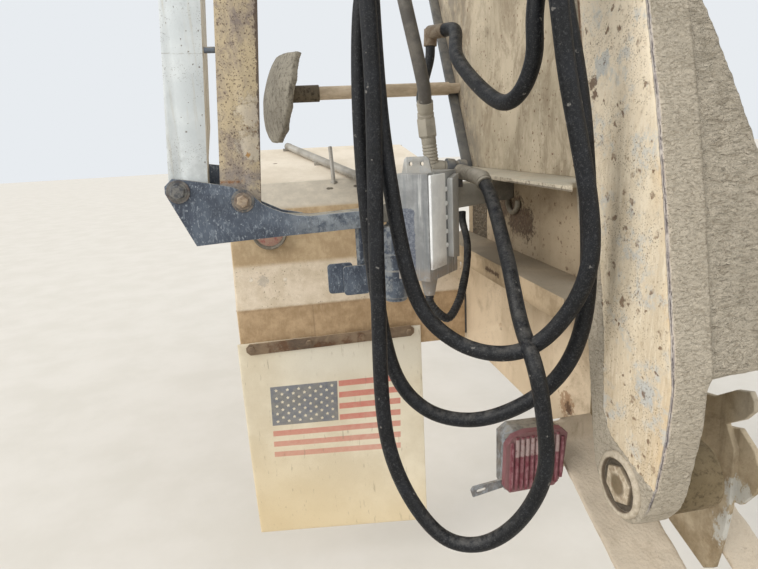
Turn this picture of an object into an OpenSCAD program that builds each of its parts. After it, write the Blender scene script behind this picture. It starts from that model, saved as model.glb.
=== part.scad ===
// Left rear corner of a concrete mixer truck, standing on the outer face of the chassis frame.
// +X runs from the wheel side to the truck's centreline, +Y forward, +Z up, in millimetres.
// The origin is the centre of the four-hole pattern on the inboard face of the frame plate.

/* [Frame and pedestal] */
// Thickness of the frame, base and pedestal plates
plate_t = 12; // [8:1:20]
// Bolt spacing of the frame pattern along the truck
mount_y = 200; // [120:10:300]
// Bolt spacing of the frame pattern in height
mount_z = 160; // [100:10:240]
// Hole for an M20 frame bolt
mount_hole = 22; // [14:1:30]
// Height of the shelf above the pattern centre
shelf_z = 164; // [120:1:200]
// Reach of the shelf from the plate
shelf_reach = 105; // [80:5:180]
// Height of the ledge above the pattern centre
ledge_z = 373; // [320:1:420]
// Reach of the ledge from the plate
ledge_reach = 106; // [80:1:180]
// Height of the pedestal's cap
cap_z = 1150; // [1000:10:1400]
// Width of the folded edge on the pedestal
fold_w = 30; // [15:1:60]

/* [Bracket arm and posts] */
// Thickness of the bracket arm's plates
arm_plate_t = 12; // [8:1:16]
// Depth of the posts between the plates
post_d = 50; // [30:1:80]
// Width of the channel post
channel_w = 88; // [60:1:120]
// Depth of the channel post's flanges above the fork
channel_d = 116; // [60:1:160]
// Width of the bar post
bar_w = 95; // [60:1:120]
// Lean of the posts towards the truck
post_lean = 4.6; // [0:0.1:10]
// Length of the posts above their bolts
post_len = 780; // [500:10:1000]
// Bolt that carries each post
post_bolt = 24; // [16:1:30]

/* [Fender and flap] */
// Sheet of the fender
sheet_t = 3; // [2:0.5:5]
// Width of the fender
fender_w = 761; // [500:1:800]
// Width of the flap
flap_w = 610; // [400:10:700]
// Height of the flap
flap_h = 762; // [500:1:900]
// Thickness of the flap
flap_t = 10; // [6:1:14]

/* [Axle arm] */
// Width of the arm across its side plates
arm_w = 64; // [50:2:100]
// Side plate thickness
side_t = 12; // [8:1:20]
// Pivot pin diameter
pin_d = 50; // [40:1:70]
// Running clearance of the pin in its hub, on the radius
pin_clear = 0.06; // [0.02:0.01:0.1]
// Radius of the arm's rounded lower end
boss_r = 68; // [60:1:100]
// Height of the seat for the axle
seat_z = 1200; // [1000:10:1400]

/* [Hoses] */
// Outer diameter of the washdown hose
hose_d = 28; // [20:1:36]
// Outer diameter of the supply hose
supply_d = 30; // [20:1:40]
// Outer diameter of the short riser hose
riser_d = 22; // [16:1:28]
// Outer diameter of the ribbed conduit
conduit_d = 20; // [12:1:28]

/* [Hidden] */
$fn = 32;
// Pivot of the axle arm
pin_y = -610;
pin_z = -135;
// Outer faces of the axle arm
arm_x0 = -82;
arm_x1 = arm_x0 + arm_w;
// Inboard reach of the arm's gusset, and the guard bracket clear of it
gusset_x = 148;
guard_x = gusset_x + 24;
// Hub of the pivot bracket
hub_gap = 6;
hub_r = 62;
hub_x1 = 70;
// Fender edges
fen_x0 = -781;
fen_x1 = fen_x0 + fender_w;
// Height of the tie on the posts
tie_z = 260 + post_len;
// Flap
flap_x0 = -790;
flap_y = 400;
flap_top = -150;
// Rear half of the fender's section, mirrored about its middle for the front half
fen_mid = 1790;
fen_top = 440;
fen_half = [[400, -215], [400, -40], [455, 92], [495, 265], [640, 340], [1300, fen_top]];
fen_steps = len(fen_half);
fender_prof = concat(fen_half,
  [for (i = [fen_steps - 1:-1:0]) [2 * fen_mid - fen_half[i][0], fen_half[i][1]]]);
// Struts under the flat of the fender
strut_y = [1400, 2130];
strut_w = 50;
strut_bolt_z = 300;
// Rear and front edge of the arm at its seat, leaning forward as they rise
arm_top_rear = -437 + 0.2975 * (seat_z - 1200);
arm_top_front = -230 + 0.228 * (seat_z - 1200);
// Rear edge of the pedestal and inner edge of its fold at height z
function pedestal_rear(z) = -350 + 240 * (z - ledge_z) / (cap_z - ledge_z);
function fold_inner(z) = 337 + 453 * (z - 394) / (cap_z - 394);
// Rear edge of the arm downwards, then the whole outline above the boss from its front edge
arm_rear = [
  [arm_top_rear, seat_z], [-603, 642], [-640, 503], [-671, 366], [-702, 201], [-709, 166], [-720, 92],
  [-716, 9], [-698, -107]
];
arm_prof = concat([[-512, -82], [-481, 97], [-344, 700], [arm_top_front, seat_z]], arm_rear);
// Centrelines of the cords
first_fall = [
  [-186, -234.4, 365.7], [-185.6, -256.1, 352.4], [-210, -410, 240], [-220, -495, 140],
  [-230, -570, 95], [-225, -590, 40], [-215, -585, -115], [-260, -560, -225], [-315, -530, -275],
  [-365, -505, -275], [-410, -480, -230], [-460, -450, -100], [-465, -440, 230], [-455, -435, 565],
  [-460, -435, 790]
];
second_fall = [
  [-215, -560, 790], [-190, -570, 580], [-150, -595, 265], [-185, -565, 155], [-230, -535, 105],
  [-285, -505, 95], [-340, -470, 115], [-390, -445, 175], [-435, -415, 445], [-445, -400, 790]
];
third_fall = [
  [-200, -530, 790], [-145, -555, 460], [-135, -550, 130], [-180, -520, 20], [-270, -470, -50],
  [-335, -435, -60], [-385, -410, -40], [-430, -390, 25], [-465, -360, 350], [-455, -355, 685],
  [-430, -370, 790]
];
return_fall = [
  [-185, -495, 790], [-205, -500, 645], [-200, -490, 585], [-210, -465, 535], [-220, -415, 520],
  [-240, -225, 620], [-213.7, -127.5, 692.5], [-225.8, -98.5, 695]
];
// Hook over the saddle, at distance k from its middle
saddle_at = [-324, -465, 900];
saddle_turn = -27;
saddle_r = 118.8;
lay_r = 138;
lay_gap = 34;
function over_saddle(k) = [
  for (a = [0:30:180]) saddle_at + lay_r * [0, 0, sin(a)]
    + k * [-sin(saddle_turn), cos(saddle_turn), 0]
    - lay_r * cos(a) * [cos(saddle_turn), sin(saddle_turn), 0]
];
coil_pts = concat(first_fall, over_saddle(-lay_gap), second_fall, over_saddle(0), third_fall,
  over_saddle(lay_gap), return_fall);
supply_pts = [
  [-276.1, -100.2, 547.4], [-280, -112, 570], [-317, -115, 745], [-323, -87, 813], [-315, -19, 891],
  [-278, 83, 964], [-200, 200, 1010], [-95, 330, 1000]
];
riser_pts = [
  [-268, -44.6, 545.3], [-267.6, -30.5, 558.8], [-247.3, -50, 646], [-246, -50, 669.5]
];
conduit_pts = [
  [-303, -190, 121.5], [-303, -190, 104], [-260, -180, 58], [-219, -143, 84], [-191, -102, 122],
  [-168, -60, 159], [-152, -15, 207], [-148, 30, 252], [-148, 30, 275.6]
];

tan_c = [0.80, 0.70, 0.53];
steel_c = [0.45, 0.49, 0.54];
rust_c = [0.55, 0.40, 0.28];
alu_c = [0.75, 0.76, 0.76];
black_c = [0.12, 0.12, 0.13];

// Extrudes an outline given in (y, z) along X from x0 to x1
module along_x(x0, x1) {
  translate([x0, 0, 0]) rotate([90, 0, 90]) linear_extrude(x1 - x0) children();
}

// Extrudes an outline given in (x, z) along Y from y0 to y1
module along_y(y0, y1) {
  translate([0, y1, 0]) rotate([90, 0, 0]) linear_extrude(y1 - y0) children();
}

// Block between two corners
module block(a, b) {
  translate(a) cube(b - a);
}

// Round bar between two points
module rod(a, b, r, n = 24) {
  v = b - a;
  l = norm(v);
  translate(a) rotate([0, acos(v[2] / l), atan2(v[1], v[0])]) cylinder(r = r, h = l, $fn = n);
}

function unit(v) = v / norm(v);

// Tube swept along a list of points
module cord(pts, r, n = 8) {
  k = len(pts);
  t = [for (i = [0:k - 1]) unit(pts[min(i + 1, k - 1)] - pts[max(i - 1, 0)])];
  ref = [0.55, 0.83, 0.05];
  rings = [
    for (i = [0:k - 1])
      let (b = unit(cross(t[i], ref)), c = cross(b, t[i]))
        for (j = [0:n - 1]) pts[i] + r * (cos(360 * j / n) * b + sin(360 * j / n) * c)
  ];
  sides = [
    for (i = [0:k - 2]) for (j = [0:n - 1])
      let (a = i * n + j, b = i * n + (j + 1) % n)
        each [[a, b, b + n], [a, b + n, a + n]]
  ];
  bottom = [for (j = [n - 1:-1:0]) j];
  top = [for (j = [0:n - 1]) (k - 1) * n + j];
  polyhedron(points = rings, faces = concat([bottom, top], sides), convexity = 8);
}

// Frame plate, bolted to the chassis rail
module frame_plate() {
  color(tan_c)
    difference() {
      along_x(-plate_t, 0)
        polygon([[454, shelf_z - 10], [454, -225], [-208, -225], [-389, -118], [-389, shelf_z - 10]]);
      for (y = [-1, 1]) for (z = [-1, 1])
        translate([-plate_t - 1, y * mount_y / 2, z * mount_z / 2]) rotate([0, 90, 0])
          cylinder(d = mount_hole, h = plate_t + 2);
    }
}

// Web between shelf and ledge
module base_web() {
  color(tan_c) block([-plate_t, -354, shelf_z], [0, 365, ledge_z - 10]);
}

// Shelf with its turned-down edge, running on towards the axle arm
shelf_y0 = -455;
module shelf_plate() {
  color(tan_c) {
    block([-plate_t - shelf_reach, shelf_y0, shelf_z - 10], [0, 377, shelf_z]);
    block([-plate_t - shelf_reach, shelf_y0, shelf_z - 50],
      [-plate_t - shelf_reach + 8, 377, shelf_z - 10]);
  }
}

// Ledge under the pedestal, its rear end cut back beside the axle arm
module ledge_plate() {
  x0 = -plate_t - ledge_reach;
  color(tan_c)
    translate([0, 0, ledge_z - 10]) linear_extrude(10)
      polygon([[0, 365], [x0, 365], [x0, -476], [-90, -428], [-90, -402], [0, -402]]);
}

// Plate that closes the rear end between shelf and ledge
module end_plate() {
  color(tan_c) block([-2 * plate_t, -354, shelf_z], [-plate_t, -344, ledge_z - 10]);
}

// Bent rod welded to the web
hoop_z = 300;
module lifting_hoop() {
  color(steel_c)
    difference() {
      translate([-plate_t - 7, 5, hoop_z]) rotate([90, 0, 90])
        rotate_extrude($fn = 32) translate([33, 0]) circle(r = 7, $fn = 12);
      block([-60, -60, hoop_z], [40, 70, hoop_z + 60]);
    }
}

// Upper plate of the pedestal
module pedestal_plate() {
  color(tan_c)
    along_x(-plate_t, 0)
      polygon([[-350, ledge_z], [337, ledge_z], [350, 392], [804, cap_z], [-110, cap_z]]);
}

// Folded front edge of the pedestal
module pedestal_fold() {
  color(steel_c)
    along_x(-plate_t - fold_w, -plate_t)
      polygon([[325, ledge_z], [337, ledge_z], [350, 392], [804, cap_z], [790, cap_z], [337, 394]]);
}

// Cap of the pedestal, with four holes for a roller bracket
module pedestal_cap() {
  color(tan_c)
    difference() {
      block([-130, -110, cap_z], [60, 820, cap_z + plate_t]);
      for (x = [-95, 25]) for (y = [240, 480])
        translate([x, y, cap_z - 1]) cylinder(d = 22, h = plate_t + 2);
    }
}

// Cast bracket that carries the hub of the axle arm
module pivot_bracket() {
  color(steel_c)
    difference() {
      union() {
        translate([arm_x1 + hub_gap, pin_y, pin_z]) rotate([0, 90, 0])
          cylinder(r = hub_r, h = hub_x1 - arm_x1 - hub_gap, $fn = 64);
        along_x(-plate_t, hub_x1)
          hull() {
            translate([pin_y, pin_z]) circle(r = 55);
            polygon([[-389, -118], [-389, 40], [-400, 40], [-400, -118]]);
          }
        block([0, -390, -110], [30, -260, 60]);
      }
      translate([arm_x0 - 1, pin_y, pin_z]) rotate([0, 90, 0])
        cylinder(r = pin_d / 2 + pin_clear, h = hub_x1 - arm_x0 + 2, $fn = 96);
    }
}

// Two flat bars that slope down to the rear under the pivot, with their cross plates
bar_drop = 0.5;
bar_top_a = -257;
bar_top_b = -211;
bar_len = 500;
module tail_bar(x0, x1, top) {
  along_x(x0, x1)
    polygon([[-262, top], [-262 - bar_len, top - bar_drop * bar_len],
      [-262 - bar_len, top - bar_drop * bar_len - 14], [-262, top - 14]]);
}

module tail_bars() {
  color(tan_c) {
    tail_bar(-24, 125, bar_top_a);
    tail_bar(guard_x + 12, guard_x + 108, bar_top_b);
    block([0, -262, -201], [guard_x + 108, -210, -135]);
    block([-60, -262, -330], [guard_x + 108, -250, -201]);
    block([-24, -262 - bar_len - 10, bar_top_a - bar_drop * bar_len - 20],
      [guard_x + 108, -262 - bar_len, bar_top_b - bar_drop * bar_len + 4]);
  }
}

// Goose-necked guard bracket inboard of the axle arm
module guard_bracket() {
  color(tan_c) {
    along_x(guard_x, guard_x + 12)
      polygon([[-262, -150], [-450, -60], [-516, -46], [-566, -11], [-597, -1], [-608, -16],
        [-610, -34], [-591, -59], [-552, -87], [-577, -128], [-579, -182], [-581, -248],
        [-573, -324], [-559, -405], [-534, -426], [-425, -390], [-300, -300], [-262, -240]]);
    along_x(guard_x + 12, guard_x + 24)
      polygon([[-540, -100], [-572, -89], [-608, -115], [-629, -155], [-623, -192], [-593, -238],
        [-540, -250]]);
  }
}

// Rear plate of the bracket arm
module bracket_arm() {
  color(steel_c)
    difference() {
      along_y(0, arm_plate_t) fork_outline();
      post_holes();
    }
}

module fork_outline() {
  polygon([[-834, 273], [-821, 244], [-756, 247], [-615, 252], [-524, 254], [-400, 258], [-400, 300],
    [-498, 298], [-545, 296], [-579, 300], [-614, 311], [-635, 320], [-659, 334], [-679, 355],
    [-724, 378], [-784, 392], [-829, 401], [-857, 406], [-876, 389], [-877, 372]]);
}

module post_holes() {
  for (p = [[-847, 375], [-703, 344]])
    translate([p[0], -1, p[1]]) rotate([-90, 0, 0]) cylinder(d = post_bolt, h = 200, $fn = 32);
}

// Front plate of the bracket arm's fork
module bracket_front_plate() {
  color(steel_c)
    difference() {
      along_y(arm_plate_t + post_d, 2 * arm_plate_t + post_d)
        polygon([[-834, 273], [-821, 244], [-756, 247], [-560, 253], [-560, 298], [-614, 311],
          [-659, 334], [-700, 372], [-724, 424], [-800, 436], [-857, 412], [-876, 389], [-877, 372]]);
      post_holes();
    }
}

// Tube that carries the bracket arm from the pedestal's web
module bracket_tube() {
  color(steel_c)
    along_y(arm_plate_t, arm_plate_t + post_d) tube_outline();
}

module tube_outline() {
  polygon([[-620, 253], [-421, 258], [-165, 287], [-12, 302], [-12, 342], [-40, 351], [-165, 351],
    [-421, 300], [-545, 296], [-620, 305]]);
}

// Channel post at the outer bolt, set off inboard, its flanges cut back at the fork
channel_off = 22;
module post_channel() {
  color([0.85, 0.86, 0.84])
    difference() {
      translate([-847, arm_plate_t, 375]) rotate([0, post_lean, 0])
        translate([channel_off, 0, 0]) difference() {
          union() {
            block([-channel_w / 2, 0, -60], [channel_w / 2, 6, post_len]);
            for (x = [-channel_w / 2, channel_w / 2 - 6])
              along_x(x, x + 6)
                polygon([[6, -20], [post_d, -20], [post_d, 80], [channel_d, 150],
                  [channel_d, post_len], [6, post_len]]);
          }
          translate([channel_w / 2, -1, -36]) rotate([0, 40, 0]) translate([0, 0, -80])
            cube([60, post_d + 2, 160]);
        }
      along_y(-1, 200) polygon([[-877, 372], [-834, 273], [-834, 200], [-1000, 200], [-1000, 372]]);
      post_holes();
    }
}

// Bar post at the inner bolt
module post_bar() {
  color(rust_c)
    difference() {
      translate([-703, arm_plate_t, 344]) rotate([0, post_lean, 0])
        block([-bar_w / 2 - 5, 0, -60], [bar_w / 2 - 5, 16, post_len + 30]);
      post_holes();
    }
}

// Bolts, washers and spacers of the posts
module post_bolts() {
  color(steel_c)
    for (p = [[-847, 375, 6, 14, 18], [-703, 344, 16, 20, 15]])
      translate([p[0], 0, p[1]]) rotate([-90, 0, 0]) {
        translate([0, 0, -4]) cylinder(r = 27, h = 4);
        translate([0, 0, -8]) cylinder(r = 21, h = 4);
        translate([0, 0, -20]) cylinder(r = p[4], h = 12, $fn = 6);
        cylinder(d = post_bolt, h = 2 * arm_plate_t + post_d, $fn = 32);
        translate([0, 0, arm_plate_t + p[2]]) cylinder(r = p[3], h = post_d - p[2]);
        translate([0, 0, 2 * arm_plate_t + post_d]) cylinder(r = 20, h = 20, $fn = 6);
      }
}

// Tie across the tops of the posts
module post_tie() {
  color(steel_c)
    difference() {
      block([-850, 0, tie_z - 30], [-560, arm_plate_t, tie_z + 30]);
      translate([-705, -1, tie_z]) rotate([-90, 0, 0]) cylinder(d = 18, h = 20);
    }
  color(steel_c) rod([-753.6, 21, 684], [-728.9, 21, 684], 7, 12);
}

// Centre of the paddle and its rod
paddle_z = 616;
paddle_y = fold_inner(paddle_z) - 20.02;
module paddle_rod() {
  color([0.42, 0.41, 0.39]) {
    rod([-604, paddle_y, paddle_z], [-plate_t, paddle_y, paddle_z], 16, 24);
    rod([-604, paddle_y, paddle_z], [-plate_t - fold_w - 4, paddle_y, paddle_z], 20, 24);
    rod([-604, paddle_y, paddle_z], [-462, paddle_y, paddle_z], 25, 24);
  }
}

// Dished paddle, crusted with mortar
module paddle() {
  color([0.55, 0.54, 0.51])
    difference() {
      translate([-606, paddle_y, paddle_z - 8]) rotate([0, 10, 18])
        intersection() {
          translate([-60, 0, 0]) along_x(-10, 110)
            polygon([[-92, 130], [92, 130], [118, 50], [114, -30], [84, -96], [30, -130],
              [-30, -130], [-84, -96], [-114, -30], [-118, 50]]);
          translate([300, 0, 0]) difference() {
            sphere(r = 312, $fn = 72);
            sphere(r = 294, $fn = 72);
          }
        }
      rod([-604.5, paddle_y, paddle_z], [-400, paddle_y, paddle_z], 25, 24);
    }
}

module fender_outer() {
  polygon(fender_prof);
}

// The same outline, carried on below the fender's lower edges
module fender_inner() {
  polygon(concat([[fender_prof[0][0], -300]], [for (i = [1:2 * fen_steps - 2]) fender_prof[i]],
    [[2 * fen_mid - fender_prof[0][0], -300]]));
}

// Folded sheet of the fender
module fender_shell() {
  color(tan_c)
    along_x(fen_x0 + sheet_t, fen_x1)
      difference() {
        fender_outer();
        offset(delta = -sheet_t) fender_inner();
      }
}

// Lip round the open side of the fender
module fender_lip() {
  color(tan_c)
    along_x(fen_x0, fen_x0 + sheet_t)
      difference() {
        fender_outer();
        offset(delta = -28) fender_inner();
      }
}

// Angle that hangs the rear of the fender on the frame plate
module fender_hanger() {
  color(steel_c) {
    block([-plate_t - 10, 403, -200], [-plate_t, 454, -60]);
    block([-160, 403, -200], [-plate_t - 10, 413, -60]);
  }
}

// Square struts under the fender, with flanges for the chassis
module fender_struts() {
  color(steel_c)
    for (y = strut_y) {
      block([-740, y, fen_top - sheet_t - strut_w], [-plate_t, y + strut_w, fen_top - sheet_t]);
      difference() {
        block([-plate_t, y - strut_w, strut_bolt_z - 60], [0, y + 2 * strut_w, fen_top - sheet_t]);
        for (d = [-strut_w / 2, 3 * strut_w / 2]) for (z = [-32.5, 32.5])
          translate([-plate_t - 1, y + d, strut_bolt_z + z]) rotate([0, 90, 0])
            cylinder(d = 18, h = plate_t + 2);
      }
    }
}

// Conduit pipe on the fender with its clamps, and a threaded stud
module fender_pipe() {
  color(alu_c)
    difference() {
      union() {
        rod([-330, 552, 346], [-544, 1308, 459.5], 15, 20);
        rod([-543, 1296, 458], [-500, 2250, 457], 16, 20);
        rod([-331, 556, 352], [-331, 556, 240], 16, 20);
        block([-458, 913, 370], [-410, 941, 396]);
        block([-566, 1290, 430], [-520, 1318, 450]);
        rod([-417, 612, 290], [-416, 680, 452], 7, 12);
        rod([-417, 612, 290], [-416.8, 626, 333], 14, 6);
      }
      along_x(fen_x0 - 1, fen_x1 + 1) fender_outer();
    }
}

// Round marker lamp on the fender's rear face
module marker_lamp() {
  color([0.6, 0.1, 0.08])
    difference() {
      rod([-654, 488, 191], [-654, 455, 198.6], 57, 64);
      along_x(fen_x0 - 1, fen_x1 + 1) fender_outer();
    }
}

// Mud flap, curling forward at its outer lower corner
flap_curl = 105;
flap_rows = 8;
// The first row stays flat against the fender
flap_flat = 1 / flap_rows;
function flap_y_at(u, v) = flap_y - flap_t + flap_curl * (1 - u) * pow(max(0, v - flap_flat), 2);
function flap_pt(i, j, t) = let (u = i / flap_rows, v = j / flap_rows)
  [flap_x0 + flap_w * u, flap_y_at(u, v) + t, flap_top - flap_h * v];
module flap() {
  n = flap_rows;
  m = n + 1;
  grid = [for (t = [0, flap_t]) for (j = [0:n]) for (i = [0:n]) flap_pt(i, j, t)];
  function at(t, j, i) = t * m * m + j * m + i;
  front = [for (j = [0:n - 1]) for (i = [0:n - 1])
    each [[at(0, j, i), at(0, j, i + 1), at(0, j + 1, i + 1)],
      [at(0, j, i), at(0, j + 1, i + 1), at(0, j + 1, i)]]];
  back = [for (j = [0:n - 1]) for (i = [0:n - 1])
    each [[at(1, j, i), at(1, j + 1, i + 1), at(1, j, i + 1)],
      [at(1, j, i), at(1, j + 1, i), at(1, j + 1, i + 1)]]];
  rim = [for (k = [0:n - 1])
    each [[at(0, 0, k), at(1, 0, k), at(1, 0, k + 1), at(0, 0, k + 1)],
      [at(0, n, k + 1), at(1, n, k + 1), at(1, n, k), at(0, n, k)],
      [at(0, k + 1, 0), at(1, k + 1, 0), at(1, k, 0), at(0, k, 0)],
      [at(0, k, n), at(1, k, n), at(1, k + 1, n), at(0, k + 1, n)]]];
  color([0.88, 0.84, 0.74]) polyhedron(points = grid, faces = concat(front, back, rim));
}

// Bar that clamps the flap, with its bolts
bar_left = -763;
bar_right = -205;
module flap_bar() {
  color(steel_c) {
    along_y(flap_y - flap_t - 6, flap_y - flap_t)
      polygon([[bar_left + 12, -188], [bar_right - 12, -182], [bar_right, -172], [bar_right, -156],
        [bar_right - 12, -144], [bar_left + 12, -150], [bar_left, -162], [bar_left, -176]]);
    for (x = [-746, -561, -384, -222])
      translate([x, flap_y - flap_t - 14, -167]) rotate([-90, 0, 0]) cylinder(r = 11, h = 8, $fn = 6);
  }
}

// Small hook plates with their pipe and a pot under the bracket arm
module hook_plates() {
  color(steel_c) {
    translate([-334, 37, 62]) cylinder(r = 38, h = 76, $fn = 40);
    translate([-334, 37, 52]) cylinder(r = 30, h = 10, $fn = 40);
    translate([-334, 37, 138]) cylinder(r = 33, h = 118, $fn = 40);
    difference() {
      translate([-334, 37, 256]) cylinder(r = 16, h = 20);
      along_y(arm_plate_t, arm_plate_t + post_d) tube_outline();
    }
    block([-513, 12, 90], [-450, 18, 168]);
    block([-470, 18, 84], [-408, 24, 160]);
    rod([-422, 36, 150], [-422, 36, 257.6], 12, 16);
    block([-440, 24, 100], [-408, 50, 150]);
  }
}

// Footprint of the junction box, its nearest corner towards the rear
module box_plan() {
  translate([-314, -240]) rotate(45) square([130, 80]);
}

// Cast junction box
box_top = 396;
module junction_box() {
  color(alu_c) {
    translate([0, 0, 164]) linear_extrude(box_top - 164) box_plan();
    translate([-314, -240, box_top]) rotate([0, 0, 45]) difference() {
      along_x(22, 27) polygon([[2, 0], [76, 0], [69, 29], [63, 34], [16, 34], [9, 29]]);
      for (y = [25, 53]) translate([21, y, 19]) rotate([0, 90, 0]) cylinder(d = 9, h = 8, $fn = 16);
    }
    translate([-303, -190, 122]) cylinder(r1 = 12, r2 = 20, h = 42);
  }
}

// Cover of the junction box, its flange and the screws between them
module box_cover() {
  color(alu_c)
    translate([-314, -240, 0]) rotate([0, 0, 45]) {
      translate([2, -7, 190]) cube([64, 7, box_top - 194]);
      along_y(-14, 0) polygon([[84, 204], [115, 200], [115, 388], [84, 380]]);
      for (z = [233:31:357])
        translate([75, -5, z]) rotate([-90, 0, 0]) cylinder(r = 6, h = 5, $fn = 6);
    }
}

// Bracket between the junction box and the arm's tube
module box_bracket() {
  color(steel_c)
    difference() {
      union() {
        block([-300, -160, 300], [-262, arm_plate_t, 308]);
        block([-300, 4, 262], [-240, arm_plate_t, 330]);
      }
      translate([0, 0, 100]) linear_extrude(300) box_plan();
    }
}

// Tee, coupling stack and clamp of the washdown water
module water_tee() {
  color([0.62, 0.60, 0.56]) {
    rod([-262, -80, 400], [-175, -80, 388], 18, 20);
    rod([-226, -80, 395], [-177, -80, 388.5], 24, 20);
    rod([-258, -80, 398], [-270, -80, 520], 17, 20);
    rod([-266, -80, 470], [-270, -80, 512], 23, 6);
    rod([-269, -78, 506], [-276, -100, 547], 19, 20);
    rod([-269, -84, 508], [-268, -45, 545], 14, 16);
    rod([-200, -80, 390], [-186, -215, 378], 17, 20);
    rod([-186.5, -208, 382], [-186, -234, 366], 18, 20);
    block([-215, -60, 352], [-178, 5, 360]);
    block([-217, 4, 300], [-175, 12, 400]);
    block([-203, -92, 350], [-187, -50, 371]);
  }
}

// Elbow above the stack, fed by the looped hose, and the supply's spigot on the pedestal
module water_elbow() {
  color([0.50, 0.47, 0.42]) {
    rod([-246, -50, 670], [-244, -50, 706], 15, 16);
    rod([-246, -50, 699], [-226, -98, 695], 15, 16);
    difference() {
      rod([-94.7, 330.4, 1000], [2, 450, 990.7], 16, 16);
      block([-plate_t, 380, 940], [40, 500, 1050]);
    }
    translate([-plate_t - 8, 433, 992]) rotate([0, 90, 0]) cylinder(r = 30, h = 8);
  }
}

// Round saddle over which the hose hangs, with its arm
module hose_saddle() {
  color(steel_c)
    difference() {
      union() {
        translate(saddle_at) rotate([0, 0, saddle_turn]) rotate([90, 0, 0]) difference() {
          union() {
            cylinder(r = saddle_r, h = 150, center = true, $fn = 96);
            translate([0, 0, -81]) cylinder(r = 165, h = 6, $fn = 64);
            translate([0, 0, 75]) cylinder(r = 165, h = 6, $fn = 64);
          }
          translate([0, 0, -70]) cylinder(r = 114, h = 160, $fn = 64);
        }
        rod([-290, -398, 940], [10, -120, 940], 16);
      }
      block([-600, -700, 700], [-100, -200, 900]);
      block([-plate_t, -200, 850], [60, 0, 1000]);
    }
}

// Washdown hose, three turns
module hose_coil() {
  color(black_c) cord(coil_pts, hose_d / 2);
}

// Supply hose from above
module supply_hose() {
  color(black_c) cord(supply_pts, supply_d / 2);
}

// Short riser between elbow and stack
module riser_hose() {
  color(black_c) cord(riser_pts, riser_d / 2);
}

// Ribbed conduit from the junction box
module box_conduit() {
  color(black_c) cord(conduit_pts, conduit_d / 2);
}

// Housing and slotted strap of the tail lamp
module tail_lamp() {
  color(steel_c) {
    along_y(-314, -262)
      polygon([[-172, -326], [-40, -326], [-40, -190], [-50, -182], [-150, -180], [-172, -196]]);
    difference() {
      along_y(-306, -300)
        polygon([[-165, -323], [-165, -302], [-246, -312], [-251, -320], [-246, -338]]);
      along_y(-310, -290)
        polygon([[-238, -325], [-234, -329], [-217, -326], [-213, -322], [-217, -317], [-234, -320]]);
    }
  }
}

// Red lens of the tail lamp
module tail_lamp_lens() {
  color([0.7, 0.1, 0.12])
    along_y(-338, -314)
      polygon([[-180, -308], [-176, -205], [-160, -184], [-132, -176], [-44, -179], [-30, -192],
        [-36, -250], [-48, -306], [-60, -320], [-168, -322]]);
}

// Stop on which the axle arm rests
module arm_stop() {
  color(black_c)
    along_x(-40, 0)
      polygon([[pedestal_rear(860), 860], [pedestal_rear(920), 920], [-293.5, 920], [-307.2, 860]]);
}

// Side plates of the axle arm
module arm_side_plates() {
  color([0.82, 0.76, 0.64])
    for (x = [arm_x0, arm_x1 - side_t])
      difference() {
        along_x(x, x + side_t) arm_outline();
        translate([arm_x0 - 1, pin_y, pin_z]) rotate([0, 90, 0])
          cylinder(r = pin_d / 2, h = arm_w + 2, $fn = 96);
      }
}

module arm_outline() {
  hull() {
    translate([pin_y, pin_z]) circle(r = boss_r, $fn = 64);
    polygon([[-512, -82], [-524, -140], [-547, -172], [-686, -144], [-698, -107]]);
  }
  polygon(concat(arm_prof, [[-610, -135]]));
}

module arm_ring() {
  difference() {
    arm_outline();
    offset(delta = -side_t) arm_outline();
  }
}

// Rear cover of the axle arm
module arm_rear_plate() {
  color([0.74, 0.70, 0.62])
    along_x(arm_x0 + side_t, arm_x1 - side_t)
      intersection() {
        arm_ring();
        polygon([[arm_top_rear, seat_z + 1], [arm_top_rear - 10, seat_z - 20], [-560, 600],
          [-640, 160], [-610, -135], [-680, -215], [-900, -215], [-900, seat_z + 1]]);
      }
}

// Front cover of the axle arm
module arm_front_plate() {
  color([0.74, 0.70, 0.62])
    along_x(arm_x0 + side_t, arm_x1 - side_t)
      intersection() {
        arm_ring();
        polygon([[-500, 20], [-300, 20], [arm_top_front + 130, seat_z + 1],
          [arm_top_front - 70, seat_z + 1], [-500, 300]]);
      }
}

// Strip of thickness t that follows the arm's rear edge
module rear_strip(t) {
  polygon(concat(arm_rear, [for (i = [len(arm_rear) - 1:-1:0]) arm_rear[i] + [t, 0]]));
}

// Gusset on the inboard side, a rear plate with a slanted edge and a bottom plate
module arm_gusset() {
  edge = [[arm_x1, 95], [gusset_x, 95], [gusset_x, 230], [arm_x1, 759]];
  color([0.74, 0.70, 0.62]) {
    intersection() {
      along_x(arm_x1, gusset_x) rear_strip(side_t);
      along_y(-900, -300) polygon(edge);
    }
    intersection() {
      along_x(arm_x1, gusset_x) rear_strip(90);
      along_y(-900, -300) difference() {
        polygon(edge);
        polygon([[arm_x1 - 1, 107], [136, 107], [136, 228], [arm_x1 - 1, 722]]);
      }
    }
  }
}

// Ring round the pivot on the outer side plate
module arm_boss_ring() {
  color([0.74, 0.70, 0.62])
    translate([arm_x0 - 9, pin_y, pin_z]) rotate([0, 90, 0])
      difference() {
        cylinder(r = 57, h = 9, $fn = 64);
        translate([0, 0, -1]) cylinder(r = 46, h = 11, $fn = 64);
      }
}

// Pivot pin with its head and nut
module arm_pin() {
  color(steel_c)
    translate([0, pin_y, pin_z]) rotate([0, 90, 0]) {
      translate([0, 0, arm_x0]) cylinder(r = pin_d / 2, h = hub_x1 + 20 - arm_x0, $fn = 96);
      translate([0, 0, arm_x0 - 6]) cylinder(r = 40, h = 6, $fn = 6);
      translate([0, 0, hub_x1 + hub_gap]) cylinder(r = 40, h = 14, $fn = 6);
    }
}

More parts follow.
